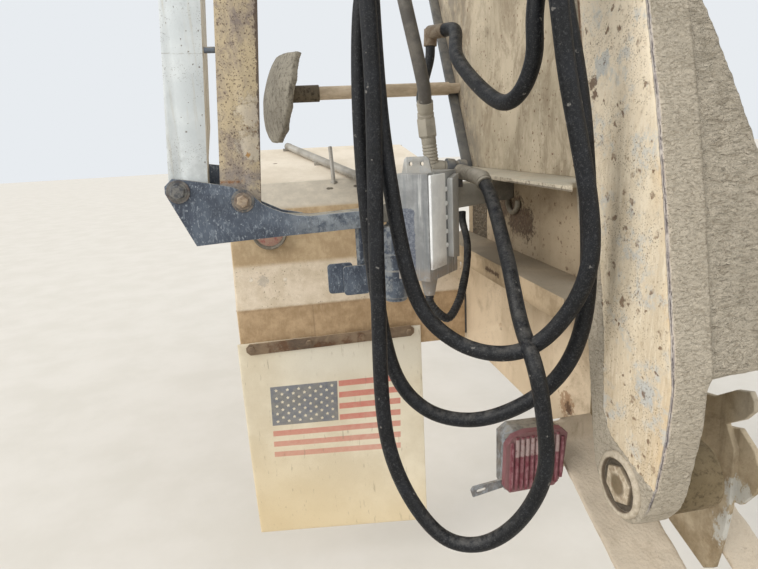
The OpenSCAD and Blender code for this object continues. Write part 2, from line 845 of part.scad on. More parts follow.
// Seat at the upper end, where the axle bolts on
module arm_seat() {
  color([0.74, 0.70, 0.62])
    difference() {
      block([arm_x0 - 28, arm_top_rear - 33, seat_z], [arm_x1 + 28, arm_top_front + 30, seat_z + 20]);
      for (x = [-90, -10]) for (y = [arm_top_rear + 37, arm_top_rear + 167])
        translate([x, y, seat_z - 1]) cylinder(d = 22, h = 22);
    }
}

frame_plate();
base_web();
shelf_plate();
ledge_plate();
end_plate();
lifting_hoop();
pedestal_plate();
pedestal_fold();
pedestal_cap();
pivot_bracket();
tail_bars();
guard_bracket();
bracket_arm();
bracket_front_plate();
bracket_tube();
post_channel();
post_bar();
post_bolts();
post_tie();
paddle_rod();
paddle();
fender_shell();
fender_lip();
fender_hanger();
fender_struts();
fender_pipe();
marker_lamp();
flap();
flap_bar();
hook_plates();
junction_box();
box_cover();
box_bracket();
water_tee();
water_elbow();
hose_saddle();
hose_coil();
supply_hose();
riser_hose();
box_conduit();
tail_lamp();
tail_lamp_lens();
arm_stop();
arm_side_plates();
arm_rear_plate();
arm_front_plate();
arm_gusset();
arm_boss_ring();
arm_pin();
arm_seat();
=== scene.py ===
"""Looks of the left rear corner of a concrete mixer truck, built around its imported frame."""
import math
import bmesh
import bpy
import numpy as np
from mathutils import Matrix, Vector, noise


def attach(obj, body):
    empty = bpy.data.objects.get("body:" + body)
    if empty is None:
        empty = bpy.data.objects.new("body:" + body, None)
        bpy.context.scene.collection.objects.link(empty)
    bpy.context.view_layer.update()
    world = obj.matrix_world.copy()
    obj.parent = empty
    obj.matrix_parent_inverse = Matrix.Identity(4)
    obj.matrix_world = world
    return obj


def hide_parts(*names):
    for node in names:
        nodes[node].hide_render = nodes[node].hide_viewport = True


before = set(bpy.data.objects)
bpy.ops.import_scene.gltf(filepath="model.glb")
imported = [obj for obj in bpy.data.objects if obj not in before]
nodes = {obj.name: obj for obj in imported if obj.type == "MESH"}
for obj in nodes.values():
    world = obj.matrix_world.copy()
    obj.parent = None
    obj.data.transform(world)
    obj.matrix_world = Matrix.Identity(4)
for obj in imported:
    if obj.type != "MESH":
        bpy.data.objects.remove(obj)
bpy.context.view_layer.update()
MM = 0.001


def placed(name, data):
    """A new object in the scene that shows this mesh, lamp or camera."""
    obj = bpy.data.objects.new(name, data)
    bpy.context.scene.collection.objects.link(obj)
    return obj


# The camera, at the place and angle from which the truck was seen
LENS_PX, FRAME_PX, FRAME_MM = 569.5, 758, 36
PITCH, ROLL, YAW = math.radians(14.3), math.radians(3.0), math.radians(10.0)
EYE = Vector((-0.632, -1.4, 0.47))


def add_camera():
    ahead = Vector((math.sin(YAW) * math.cos(PITCH), math.cos(YAW) * math.cos(PITCH), -math.sin(PITCH)))
    level = Vector((math.cos(YAW), -math.sin(YAW), 0))
    down = ahead.cross(level)
    across = level * math.cos(ROLL) + down * math.sin(ROLL)
    below = -level * math.sin(ROLL) + down * math.cos(ROLL)
    turn = Matrix((across, -below, -ahead)).transposed().to_4x4()
    camera = placed("camera", bpy.data.cameras.new("camera"))
    camera.matrix_world = Matrix.Translation(EYE) @ turn
    camera.data.lens = LENS_PX / FRAME_PX * FRAME_MM
    camera.data.clip_end = 60
    bpy.context.scene.camera = camera


add_camera()


# Shapes, collected in millimetres
def unit(v):
    v = np.asarray(v, float)
    return v / max(np.linalg.norm(v), 1e-9)


def side_axes(axis):
    """Two directions square to an axis and to each other."""
    axis = unit(axis)
    ref = np.array([0.0, 0.0, 1.0]) if abs(axis[2]) < 0.9 else np.array([0.0, 1.0, 0.0])
    u = unit(np.cross(ref, axis))
    return u, np.cross(axis, u)


def tube_faces(rings, sides):
    """Faces of a closed tube: its two ends, and the bands between its rings of points."""
    faces = [tuple(range(sides - 1, -1, -1)), tuple((rings - 1) * sides + k for k in range(sides))]
    for i in range(rings - 1):
        for k in range(sides):
            j = (k + 1) % sides
            faces.append((i * sides + k, i * sides + j, (i + 1) * sides + j, (i + 1) * sides + k))
    return faces


def grid_faces(rows, columns, start=0):
    """Faces of a sheet whose points lie in rows."""
    corners = [start + i * columns + j for i in range(rows - 1) for j in range(columns - 1)]
    return [(k, k + columns, k + columns + 1, k + 1) for k in corners]


class Shape:
    """The points and faces of one piece, in millimetres in the frame of the part."""

    def __init__(self):
        self.points = []
        self.faces = []

    def add(self, points, faces):
        start = len(self.points)
        self.points.extend(tuple(p) for p in points)
        self.faces.extend(tuple(i + start for i in f) for f in faces)
        return self

    def lathe(self, base, axis, profile, sides=32, turn=0.0):
        """Turned form: profile lists (distance along the axis, radius), closed at both ends."""
        base = np.asarray(base, float)
        axis = unit(axis)
        u, v = side_axes(axis)
        points = []
        for along, radius in profile:
            for k in range(sides):
                a = turn + 2 * math.pi * k / sides
                points.append(base + along * axis + radius * (math.cos(a) * u + math.sin(a) * v))
        return self.add(points, tube_faces(len(profile), sides))

    def sweep(self, path, radius, sides=16):
        """Round bar along a path. The radius may be one number, or one for each point."""
        path = np.asarray(path, float)
        n = len(path)
        radii = np.broadcast_to(radius, (n,))
        tangents = np.gradient(path, axis=0)
        tangents /= np.linalg.norm(tangents, axis=1)[:, None]
        u, _ = side_axes(tangents[0])
        points = []
        for i in range(n):
            u = unit(u - tangents[i] * np.dot(u, tangents[i]))
            v = np.cross(tangents[i], u)
            for k in range(sides):
                a = 2 * math.pi * k / sides
                points.append(path[i] + radii[i] * (math.cos(a) * u + math.sin(a) * v))
        return self.add(points, tube_faces(n, sides))

    def prism(self, outline, base, u, v, depth):
        """Plate: an outline in the plane of u and v, made as thick as the vector depth."""
        base, u, v, depth = (np.asarray(x, float) for x in (base, u, v, depth))
        low = [base + a * u + b * v for a, b in outline]
        n = len(low)
        faces = [tuple(range(n)), tuple(range(2 * n - 1, n - 1, -1))]
        faces += [(i, n + i, n + (i + 1) % n, (i + 1) % n) for i in range(n)]
        return self.add(low + [p + depth for p in low], faces)

    def block(self, low, high):
        (x0, y0, z0), (x1, y1, z1) = low, high
        return self.prism([(x0, y0), (x1, y0), (x1, y1), (x0, y1)], (0, 0, z0), (1, 0, 0), (0, 1, 0),
                          (0, 0, z1 - z0))

    def build(self, name):
        mesh = bpy.data.meshes.new(name)
        mesh.from_pydata([tuple(c * MM for c in p) for p in self.points], [], self.faces)
        return placed(name, mesh)

    def make(self, name, material, slot, body="corner", replaces=(), bevel=0.0, sharp=35):
        obj = self.build(name)
        outward(obj.data)
        return finished(obj, material, body, replaces, bevel, sharp)


def outward(mesh):
    bm = bmesh.new()
    bm.from_mesh(mesh)
    bmesh.ops.recalc_face_normals(bm, faces=bm.faces)
    bm.to_mesh(mesh)
    bm.free()


def applied(obj):
    """Turns the modifiers of a piece into its mesh."""
    graph = bpy.context.evaluated_depsgraph_get()
    mesh = bpy.data.meshes.new_from_object(obj.evaluated_get(graph))
    obj.modifiers.clear()
    old, obj.data = obj.data, mesh
    bpy.data.meshes.remove(old)
    return obj


def bevelled(obj, width):
    mod = obj.modifiers.new("bevel", 'BEVEL')
    mod.width = width * MM
    mod.segments = 2
    mod.limit_method = 'ANGLE'
    mod.angle_limit = math.radians(30)
    mod.use_clamp_overlap = True
    return applied(obj)


def finished(obj, material, body="corner", replaces=(), bevel=0.0, sharp=35):
    """Bevel, shading, material and place of a piece."""
    if bevel:
        bevelled(obj, bevel)
    obj.data.shade_smooth()
    obj.data.set_sharp_from_angle(angle=math.radians(sharp))
    obj.data.materials.clear()
    obj.data.materials.append(material)
    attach(obj, body)
    if replaces:
        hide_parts(*([replaces] if isinstance(replaces, str) else replaces))
    return obj


def solid_copy(name, sources):
    """One mesh object holding copies of the part's solids, with flat faces made whole again."""
    bm = bmesh.new()
    for source in sources:
        bm.from_mesh(nodes[source].data)
    bmesh.ops.remove_doubles(bm, verts=bm.verts, dist=2e-6)
    bmesh.ops.dissolve_limit(bm, angle_limit=math.radians(0.5), verts=bm.verts, edges=bm.edges)
    mesh = bpy.data.meshes.new(name)
    bm.to_mesh(mesh)
    bm.free()
    mesh.materials.clear()
    return placed(name, mesh)


def eased(node, material, width, body="corner"):
    """A solid of the part with its sharp edges eased, as on cut and painted steel."""
    obj = bevelled(solid_copy(node + "_eased", [node]), width)
    return finished(obj, material, body, node)


CRUST_GRAIN, CRUST_OCTAVES = 22.0, (0.8, 2.1, 4)


def crusted(name, sources, material, voxel, rough, relax, body="corner", shape=None, fields=None):
    """Solids of the part remeshed and roughened by dried mortar. Shape may change the height at each
    point, and fields may give each point numbers that the material reads."""
    obj = solid_copy(name, sources)
    mod = obj.modifiers.new("remesh", 'REMESH')
    mod.mode = 'VOXEL'
    mod.voxel_size = voxel * MM
    applied(obj)
    mesh = obj.data
    bm = bmesh.new()
    bm.from_mesh(mesh)
    for _ in range(relax):
        bmesh.ops.smooth_vert(bm, verts=bm.verts, factor=0.5, use_axis_x=True, use_axis_y=True,
                              use_axis_z=True)
    bm.to_mesh(mesh)
    bm.free()
    n = len(mesh.vertices)
    co = np.empty(n * 3)
    mesh.vertices.foreach_get("co", co)
    co = co.reshape(-1, 3)
    normals = np.array([v.normal for v in mesh.vertices])
    for field, values in (fields(co / MM) if fields else {}).items():
        mesh.attributes.new(field, 'FLOAT', 'POINT').data.foreach_set("value", values.astype(np.float32))
    heights = np.array([noise.fractal(Vector(p) * CRUST_GRAIN, *CRUST_OCTAVES) for p in co]) * rough
    if shape is not None:
        heights = shape(co / MM, normals, heights)
    co += normals * (heights * MM)[:, None]
    mesh.vertices.foreach_set("co", co.reshape(-1))
    mesh.update()
    return finished(obj, material, body, sources, sharp=60)


# Node materials
def linear(value):
    """One channel of a colour as seen, 0 to 255, as linear light."""
    return value / 255 / 12.92 if value <= 10.3 else ((value / 255 + 0.055) / 1.055) ** 2.4


def rgb(*seen):
    return tuple(linear(value) for value in seen) + (1.0,)


class Paint:
    """A node material, written as a few short calls. Positions are metres in the piece's own frame,
    colours are as seen, 0 to 255, and masks run from 0 to 1."""

    def __init__(self, name, metallic=0.0, specular=0.35):
        self.mat = bpy.data.materials.new(name)
        self.mat.use_nodes = True
        self.tree = self.mat.node_tree
        self.shader = self.tree.nodes["Principled BSDF"]
        self.shader.inputs["Metallic"].default_value = metallic
        self.shader.inputs["Specular IOR Level"].default_value = specular
        where = self.tree.nodes.new("ShaderNodeTexCoord")
        self.here = where.outputs["Object"]
        self.x, self.y, self.z = self.node("ShaderNodeSeparateXYZ", {0: self.here}).outputs
        self.nx, self.ny, self.nz = self.node("ShaderNodeSeparateXYZ", {0: where.outputs["Normal"]}).outputs
        self.colour = None
        self.normal = None

    def plug(self, socket, value):
        """Sets a socket: to another node's output, a colour as seen, or a plain value."""
        if isinstance(value, bpy.types.NodeSocket):
            self.tree.links.new(value, socket)
        elif socket.type == 'RGBA':
            socket.default_value = rgb(*value)
        else:
            socket.default_value = value

    def node(self, kind, inputs, **settings):
        made = self.tree.nodes.new(kind)
        for key, value in settings.items():
            setattr(made, key, value)
        for key, value in inputs.items():
            self.plug(made.inputs[key], value)
        return made

    def math(self, operation, a, b=0.0):
        return self.node("ShaderNodeMath", {0: a, 1: b}, operation=operation).outputs[0]

    def plus(self, a, b):
        return self.math('ADD', a, b)

    def minus(self, a, b):
        return self.math('SUBTRACT', a, b)

    def times(self, a, b):
        return self.math('MULTIPLY', a, b)

    def divide(self, a, b):
        return self.math('DIVIDE', a, b)

    def both(self, mask, *others):
        for other in others:
            mask = self.times(mask, other)
        return mask

    def either(self, mask, *others):
        for other in others:
            mask = self.math('MAXIMUM', mask, other)
        return mask

    def inverse(self, mask):
        return self.minus(1.0, mask)

    def step(self, value, low, high):
        """0 below low and 1 above high, smooth between. With low over high it falls."""
        if low > high:
            return self.inverse(self.step(value, high, low))
        inputs = {"Value": value, "From Min": low, "From Max": high}
        return self.node("ShaderNodeMapRange", inputs, interpolation_type='SMOOTHSTEP').outputs[0]

    def band(self, value, low, high, soft):
        """1 between low and high, 0 outside."""
        rise = self.step(value, low - soft, low + soft)
        return self.both(rise, self.step(value, high + soft, high - soft))

    def span(self, value, low, high, soft):
        """The same with low, high and soft in millimetres."""
        return self.band(value, low * MM, high * MM, soft * MM)

    def place(self, stretch, shift):
        """Coordinates moved by shift. Stretch is a factor for z, or one for each axis."""
        scale = stretch if isinstance(stretch, tuple) else (1, 1, stretch)
        inputs = {"Vector": self.here, "Scale": scale, "Location": (shift, shift * 0.7, shift * 1.3)}
        return self.node("ShaderNodeMapping", inputs).outputs[0]

    def noise(self, scale, detail=5.0, rough=0.6, stretch=1, shift=0.0, warp=0.0):
        inputs = {"Vector": self.place(stretch, shift), "Scale": scale, "Detail": detail,
                  "Roughness": rough, "Distortion": warp}
        return self.node("ShaderNodeTexNoise", inputs).outputs[0]

    def cloud(self, low, high, *grain, **more):
        """A mask from noise: 0 where it is below low, 1 where it is above high."""
        return self.step(self.noise(*grain, **more), low, high)

    def jitter(self, size, *grain, **more):
        """Noise around 0, as wide as size."""
        return self.times(self.minus(self.noise(*grain, **more), 0.5), size)

    def cells(self, scale, feature='F1', shift=0.0):
        inputs = {"Vector": self.place(1, shift), "Scale": scale}
        return self.node("ShaderNodeTexVoronoi", inputs, feature=feature).outputs["Distance"]

    def spots(self, scale, size, share, shift=0.0):
        """Ragged specks in a share of the cells, each of its own size, up to size as part of a cell."""
        at = self.place(1, shift)
        stir = self.node("ShaderNodeTexNoise", {"Vector": at, "Scale": scale * 2.2, "Detail": 3.0})
        stir = self.vector('SUBTRACT', stir.outputs["Color"], {1: (0.5, 0.5, 0.5)})
        stir = self.vector('SCALE', stir, {3: 0.9 / scale})
        at = self.vector('ADD', at, {1: stir})
        made = self.node("ShaderNodeTexVoronoi", {"Vector": at, "Scale": scale})
        pick = self.node("ShaderNodeSeparateColor", {0: made.outputs["Color"]}).outputs[0]
        radius = self.times(self.step(pick, share, 0.0), size)
        ratio = self.divide(made.outputs["Distance"], self.plus(radius, 0.0001))
        return self.step(ratio, 1.0, 0.6)

    def vector(self, operation, value, others, output=0):
        return self.node("ShaderNodeVectorMath", {0: value, **others}, operation=operation).outputs[output]

    def ball(self, centre, radius, soft):
        """1 near a point given in millimetres, 0 away from it."""
        gap = self.vector('DISTANCE', self.here, {1: tuple(c * MM for c in centre)}, "Value")
        return self.step(gap, (radius + soft) * MM, radius * MM)

    def blot(self, centre, size, scale, stretch=1, shift=0.0):
        """An uneven stain round a point given in millimetres, broken into islands at its rim."""
        near = self.ball(centre, 0, size * 1.7)
        grain = self.jitter(2.6, scale, 7, 0.75, stretch, shift)
        return self.step(self.plus(near, grain), 0.42, 0.72)

    def ragged(self, mask, scale, amount=0.5, shift=0.0):
        """Breaks the edge of a mask up with noise."""
        grain = self.jitter(amount * 2, scale, 6, 0.7, shift=shift)
        return self.step(self.plus(mask, grain), 0.45, 0.62)

    def field(self, name):
        """A number stored at the points of the piece."""
        return self.node("ShaderNodeAttribute", {}, attribute_name=name).outputs["Fac"]

    def blend(self, share, a, b):
        return self.node("ShaderNodeMix", {0: share, 2: a, 3: b}).outputs[0]

    def mix(self, share, a, b):
        return self.node("ShaderNodeMix", {0: share, 6: a, 7: b}, data_type='RGBA').outputs[2]

    def over(self, colour, mask, share, to):
        """Another colour laid over this one, where the mask says and by the share given."""
        return self.mix(self.times(mask, share), colour, to)

    def tint(self, mask, share, to):
        """Lays a colour over the paint's own."""
        self.colour = self.over(self.colour, mask, share, to)

    def cover(self, mask, to):
        """The same at full strength."""
        self.colour = self.mix(mask, self.colour, to)

    def bump(self, height, depth):
        """Adds relief: depth is in millimetres for a height of 0 to 1."""
        inputs = {"Height": height, "Distance": depth * MM, "Strength": 1.0}
        if self.normal is not None:
            inputs["Normal"] = self.normal
        self.normal = self.node("ShaderNodeBump", inputs).outputs[0]

    def done(self, roughness):
        self.plug(self.shader.inputs["Base Color"], self.colour)
        self.plug(self.shader.inputs["Roughness"], roughness)
        if self.normal is not None:
            self.plug(self.shader.inputs["Normal"], self.normal)
        return self.mat


RUST = (112, 80, 56)
RUST_DARK = (74, 55, 44)


def painted(name, light, mid, dark, streak=0.5, pits=0.5, rust=0.0, dust=None, crust=0.0, extra=None):
    """Old paint: cloudy colour, drips down its height, rust pits and patches, dust on what faces up."""
    p = Paint(name)
    p.colour = p.mix(p.cloud(0.36, 0.62, 3.2, 6, 0.62, shift=0.3), mid, light)
    p.tint(p.cloud(0.5, 0.74, 8.5, 7, 0.7, shift=1.7, warp=0.4), 0.75, dark)
    p.tint(p.cloud(0.5, 0.8, 46, 4, 0.6, stretch=0.07, shift=0.9), streak, dark)
    p.tint(p.cloud(0.56, 0.8, 60, 4, 0.6, stretch=0.05, shift=4.1), streak, light)
    pit = p.step(p.cells(95, shift=2.2), 0.23, 0.1)
    pit = p.both(pit, p.cloud(0.46, 0.68, 7, 3, 0.6, shift=5.0), pits)
    p.cover(pit, RUST_DARK)
    patch = None
    if rust:
        patch = p.cloud(0.72 - 0.16 * rust, 0.76 - 0.16 * rust, 11, 8, 0.72, shift=7.7)
        p.cover(patch, p.mix(p.noise(120, 4, 0.7), RUST_DARK, RUST))
    if dust:
        p.cover(p.both(p.step(p.nz, 0.35, 0.85), p.cloud(0.25, 0.6, 14, 6, 0.65, shift=3.3)), dust)
    p.tint(p.cloud(0.58, 0.75, 520, 2, 0.5), 0.25, dark)
    if extra:
        extra(p)
    p.bump(p.noise(240, 5, 0.7), 0.6)
    if crust:
        p.bump(p.noise(75, 6, 0.75, shift=6.0), 2.4 * crust)
        p.bump(p.cells(150, feature='SMOOTH_F1'), 1.2 * crust)
    p.bump(p.inverse(pit), 0.8)
    if patch is not None:
        p.bump(p.inverse(patch), 0.5)
    return p.done(p.blend(p.noise(30, 4), 0.66, 0.93))


def mortar(name, light, mid, dark, relief=1.0, extra=None):
    """Dried mortar: sandy lumps with darker hollows."""
    p = Paint(name, specular=0.2)
    fine = p.noise(90, 8, 0.75, shift=1.1)
    grain = p.noise(480, 3, 0.6)
    p.colour = p.mix(p.cloud(0.35, 0.65, 5, 5, 0.6), mid, light)
    p.tint(p.step(fine, 0.52, 0.36), 0.8, dark)
    p.tint(p.step(grain, 0.56, 0.74), 0.45, light)
    if extra:
        extra(p)
    p.bump(fine, 3.2 * relief)
    p.bump(p.cells(130, feature='SMOOTH_F1', shift=0.4), 1.6 * relief)
    p.bump(grain, 0.7 * relief)
    return p.done(0.95)


def steel(name, base, light, dark, rust=0.3, scratches=0.5, metallic=0.0, rough=0.5, dust=(150, 143, 130),
          extra=None):
    """Grey painted or bare steel with scratches, rust bloom and dust."""
    p = Paint(name, metallic=metallic, specular=0.5)
    p.colour = p.mix(p.cloud(0.38, 0.62, 6, 6, 0.65), dark, base)
    film = p.cloud(0.5, 0.72, 19, 7, 0.72, shift=2.0, warp=0.6)
    p.tint(film, 0.5, light)
    score = p.cloud(0.64, 0.7, 38, 3, 0.55, stretch=(0.25, 1, 2.4), shift=5.5)
    lines = p.cloud(0.66, 0.72, 160, 2, 0.5, stretch=(0.1, 1, 1.6), shift=8.8)
    p.tint(p.either(lines, p.both(score, p.noise(300, 2))), scratches, light)
    bloom = p.cloud(0.7 - 0.2 * rust, 0.8 - 0.2 * rust, 15, 8, 0.74, shift=9.1)
    p.tint(bloom, 0.85, p.mix(p.noise(90, 4), RUST_DARK, RUST))
    upward = p.both(p.step(p.nz, 0.3, 0.9), p.cloud(0.3, 0.6, 40, 5, 0.7, shift=1.4))
    p.tint(upward, 0.8, dust)
    if extra:
        extra(p)
    p.bump(p.noise(260, 5, 0.7), 0.5)
    p.bump(bloom, -0.5)
    return p.done(p.blend(p.either(film, bloom), rough, min(1, rough + 0.35)))


# The paints of the part
def frame_extra(p):
    stain = p.blot((-12, -290, -145), 38, 70)
    p.tint(stain, 0.75, (142, 104, 70))
    p.tint(p.blot((-12, -300, -150), 18, 110, shift=3), 0.85, (86, 62, 46))
    p.tint(p.blot((-12, -335, 61), 14, 130), 0.85, (100, 72, 50))
    p.tint(p.spots(34, 0.4, 0.2, shift=2.0), 0.4, (222, 208, 186))
    grime_and_shade = p.both(p.step(p.z, -0.02, 0.08), p.cloud(0.44, 0.6, 13, 7, 0.72, shift=5))
    p.tint(grime_and_shade, 0.35, (158, 134, 104))


def shelf_extra(p):
    """The top is grey with dust; the turned edge is pale tan paint lightened as a painted highlight, darker
    along its low edge as painted shade, and rusty at one place.
    """
    lip = p.step(p.nx, -0.6, -0.85)
    # Pale tan of the turned edge, lightened as a painted highlight.
    tone = p.mix(p.cloud(0.4, 0.62, 22, 6, 0.7, shift=3), (166, 144, 114), (190, 168, 138))
    # Painted shade along the low edge of the turned edge.
    tone = p.over(tone, p.step(p.z, 0.128, 0.114), 0.5, (150, 130, 104))
    p.cover(lip, tone)
    rough = p.jitter(0.026, 120, 7, 0.76)
    marks = p.span(p.plus(p.z, rough), 133, 143, 1.5)
    marks = p.both(marks, p.span(p.plus(p.y, rough), -142, -52, 3))
    marks = p.both(marks, p.cloud(0.36, 0.44, 26, 3, 0.5, shift=1))
    p.tint(p.both(marks, lip), 0.85, (78, 56, 44))


def web_extra(p):
    """A dark rusty patch round the welded hoop, stuck gravel, and painted shade under the ledge."""
    patch = p.either(p.blot((-12, 70, 280), 44, 80), p.blot((-12, 0, 262), 60, 80),
                     p.blot((-12, -66, 246), 50, 90, shift=1))
    tone = p.mix(p.cloud(0.4, 0.6, 140, 5, 0.7), (74, 58, 48), (112, 92, 74))
    p.tint(patch, 0.9, tone)
    p.bump(patch, -1.2)
    gravel = p.ragged(p.both(p.span(p.y, 205, 330, 10), p.step(p.z, 0.315, 0.30)), 60, 0.5, 2.0)
    stones = p.cells(150, shift=4)
    tone = p.mix(p.cloud(0.42, 0.58, 110, 6, 0.75), (70, 60, 50), (160, 146, 124))
    p.cover(gravel, p.mix(p.step(stones, 0.2, 0.6), tone, (96, 86, 72)))
    p.bump(p.both(gravel, stones), 6.0)
    # Painted shade under the overhanging ledge, broken up by noise.
    grime_and_shade = p.both(p.step(p.z, 0.26, 0.36), p.cloud(0.36, 0.6, 12, 7, 0.72, shift=8))
    p.tint(grime_and_shade, 0.5, (140, 122, 98))
    p.tint(p.spots(60, 0.4, 0.35, shift=6), 0.75, (104, 78, 58))


def ledge_extra(p):
    edge = p.step(p.nx, -0.6, -0.85)
    crumbs = p.both(edge, p.cloud(0.5, 0.62, 120, 6, 0.75))
    p.tint(crumbs, 0.75, (120, 108, 92))
    under = p.both(edge, p.step(p.z, 0.3685, 0.3655), p.step(p.y, -0.16, -0.22))
    p.tint(p.ragged(under, 90), 0.7, (92, 82, 70))


def guard_extra(p):
    """Pale dried wash along the inner edge and a brown stain beside it."""
    brown = p.cloud(0.34, 0.66, 14, 7, 0.72, shift=3)
    p.tint(p.both(brown, p.step(p.z, -0.12, -0.2)), 0.7, (118, 98, 68))
    streak = p.either(p.blot((172, -592, -215), 34, 80, stretch=0.5),
                      p.blot((172, -586, -300), 46, 80, stretch=0.5))
    p.tint(streak, 0.65, (200, 202, 198))
    head = p.both(p.step(p.y, -0.555, -0.585), p.step(p.z, -0.085, -0.07))
    p.tint(head, 0.4, (166, 160, 148))


def pedestal_extra(p):
    """Brown stains and drips, darker towards the fold, with small rust spots."""
    cloud = p.cloud(0.46, 0.6, 9, 9, 0.76, stretch=0.55, shift=6, warp=0.4)
    p.tint(cloud, 0.6, (130, 114, 92))
    scuff = p.cloud(0.54, 0.68, 36, 8, 0.76, stretch=0.5, shift=14)
    p.tint(scuff, 0.5, (208, 196, 174))
    near = p.step(p.minus(p.y, p.times(p.z, 0.30)), 0.06, 0.20)
    grime_and_shade = p.both(near, p.cloud(0.36, 0.6, 30, 7, 0.72, stretch=0.6, shift=2))
    p.tint(grime_and_shade, 0.6, (104, 98, 92))
    runs = p.cloud(0.56, 0.7, 60, 8, 0.76, stretch=0.2, shift=9)
    p.tint(runs, 0.4, (116, 98, 76))
    chips = p.spots(26, 0.3, 0.16, shift=4)
    p.tint(p.either(chips, p.spots(90, 0.34, 0.2, shift=1)), 0.85, (110, 78, 56))


def elbow_extra(p):
    p.tint(p.cloud(0.4, 0.6, 70, 6, 0.75, shift=3), 0.6, (96, 74, 54))


def rod_extra(p):
    """The rod is pale and smooth, only its sleeve is dark with lumps."""
    tone = p.mix(p.cloud(0.38, 0.62, 40, 6, 0.7, stretch=(0.3, 1, 1)), (176, 160, 138), (204, 188, 166))
    p.cover(p.step(p.x, -0.464, -0.46), tone)


def paddle_extra(p):
    streak = p.cloud(0.5, 0.66, 95, 5, 0.7, stretch=0.16, shift=2)
    p.tint(streak, 0.6, (78, 73, 65))


FRAME_PAINT = painted("frame_paint", (214, 194, 166), (196, 176, 148), (150, 130, 104),
                      dust=(186, 170, 144), rust=0.15, streak=0.2, extra=frame_extra)
SHELF_PAINT = painted("shelf_paint", (168, 154, 132), (140, 128, 110), (104, 92, 76), dust=(148, 136, 118),
                      rust=0.2, crust=0.4, extra=shelf_extra)
WEB_PAINT = painted("web_paint", (190, 172, 146), (170, 152, 126), (126, 106, 84), rust=0.4, crust=0.35,
                    streak=0.2, extra=web_extra)
LEDGE_PAINT = painted("ledge_paint", (206, 194, 172), (186, 176, 156), (136, 122, 102),
                      dust=(188, 180, 162), crust=0.7, extra=ledge_extra)
PEDESTAL_PAINT = painted("pedestal_paint", (198, 184, 160), (170, 157, 134), (132, 119, 98), rust=0.3,
                         streak=0.2, pits=0.9, extra=pedestal_extra)
BAR_SKIN = painted("bar_skin", (206, 191, 170), (184, 168, 146), (134, 118, 94), dust=(194, 180, 160),
                   rust=0.5, crust=1.0)
GUARD_PAINT = painted("guard_paint", (184, 168, 142), (146, 130, 104), (104, 90, 68), rust=0.4, crust=0.5,
                      extra=guard_extra)
MORTAR_SKIN = mortar("mortar_skin", (192, 181, 162), (174, 163, 145), (138, 126, 108))
ROD_MORTAR = mortar("rod_mortar", (112, 102, 86), (86, 78, 66), (52, 46, 38), relief=0.6, extra=rod_extra)
HUB_MORTAR = mortar("hub_mortar", (140, 124, 98), (112, 98, 74), (78, 66, 48), relief=0.8)
PADDLE_MORTAR = mortar("paddle_mortar", (148, 142, 129), (122, 116, 105), (86, 80, 70), relief=0.6,
                       extra=paddle_extra)
BLUE_STEEL = steel("blue_steel", (98, 106, 116), (136, 142, 146), (72, 80, 92), rust=0.15, scratches=0.3)
TUBE_STEEL = steel("tube_steel", (146, 141, 130), (178, 169, 152), (106, 103, 96), rust=0.3, scratches=0.1,
                   rough=0.75, dust=(180, 170, 150))
FOLD_STEEL = steel("fold_steel", (104, 104, 102), (140, 136, 126), (72, 74, 76), rust=0.5, scratches=0.2,
                   rough=0.7)
DARK_STEEL = steel("dark_steel", (84, 86, 88), (120, 120, 118), (54, 54, 56), rust=0.7)
RUSTY_STEEL = steel("rusty_steel", (128, 108, 86), (158, 138, 112), (84, 68, 54), rust=0.9, rough=0.7,
                    dust=(170, 150, 122))
HOOP_STEEL = steel("hoop_steel", (150, 144, 130), (186, 178, 160), (112, 102, 86), rust=0.5, rough=0.7)
PIPE_METAL = steel("pipe_metal", (170, 166, 158), (198, 194, 186), (134, 128, 118), metallic=0.25, rust=0.1)
FITTING = steel("fitting", (156, 149, 135), (190, 183, 168), (104, 97, 85), metallic=0.1, rust=0.3,
                scratches=0.1, rough=0.75)
ELBOW = steel("elbow_metal", (136, 122, 104), (168, 156, 138), (92, 80, 66), metallic=0.15, rust=0.5,
              rough=0.7, extra=elbow_extra)


def fork_steel(name, chalk):
    """Dark blue-grey paint under pale chalky smears that run down it."""
    p = Paint(name, specular=0.4)
    p.colour = p.mix(p.cloud(0.36, 0.64, 9, 6, 0.65), (50, 57, 70), (78, 87, 100))
    if chalk:
        light = p.both(p.step(p.x, -0.64, -0.50), p.cloud(0.34, 0.6, 30, 6, 0.72, shift=4))
        p.tint(light, 0.85, (150, 156, 160))
        dark = p.both(p.step(p.x, -0.6, -0.5), p.cloud(0.56, 0.66, 70, 6, 0.72, stretch=0.5, shift=12))
        p.tint(dark, 0.6, (66, 72, 82))
    film = p.cloud(0.45, 0.7, 15, 7, 0.72, stretch=0.6, shift=6)
    p.tint(film, 0.45, (112, 122, 134))
    smear = p.cloud(0.53, 0.66, 85, 6, 0.66, stretch=0.5, shift=2, warp=1.2)
    p.tint(smear, 0.5, (138, 147, 156))
    thin = p.cloud(0.56, 0.68, 210, 5, 0.62, stretch=0.45, shift=7, warp=0.8)
    p.tint(thin, 0.5, (164, 171, 178))
    p.tint(p.spots(150, 0.42, 0.25), 0.6, (156, 164, 170))
    low = p.both(p.step(p.nz, -0.4, -0.8), p.cloud(0.4, 0.6, 60, 5, 0.7))
    p.tint(low, 0.7, (110, 84, 64))
    top = p.both(p.step(p.nz, 0.3, 0.8), p.cloud(0.3, 0.5, 50, 5, 0.7))
    p.tint(top, 0.85, (150, 144, 132))
    edge = p.both(p.step(p.math('ABSOLUTE', p.ny), 0.97, 0.85), p.cloud(0.4, 0.55, 60, 5, 0.7, shift=2))
    p.tint(edge, 0.5, (158, 160, 158))
    p.bump(p.noise(220, 5, 0.7), 0.5)
    p.bump(smear, 0.25)
    return p.done(p.blend(smear, 0.48, 0.8))


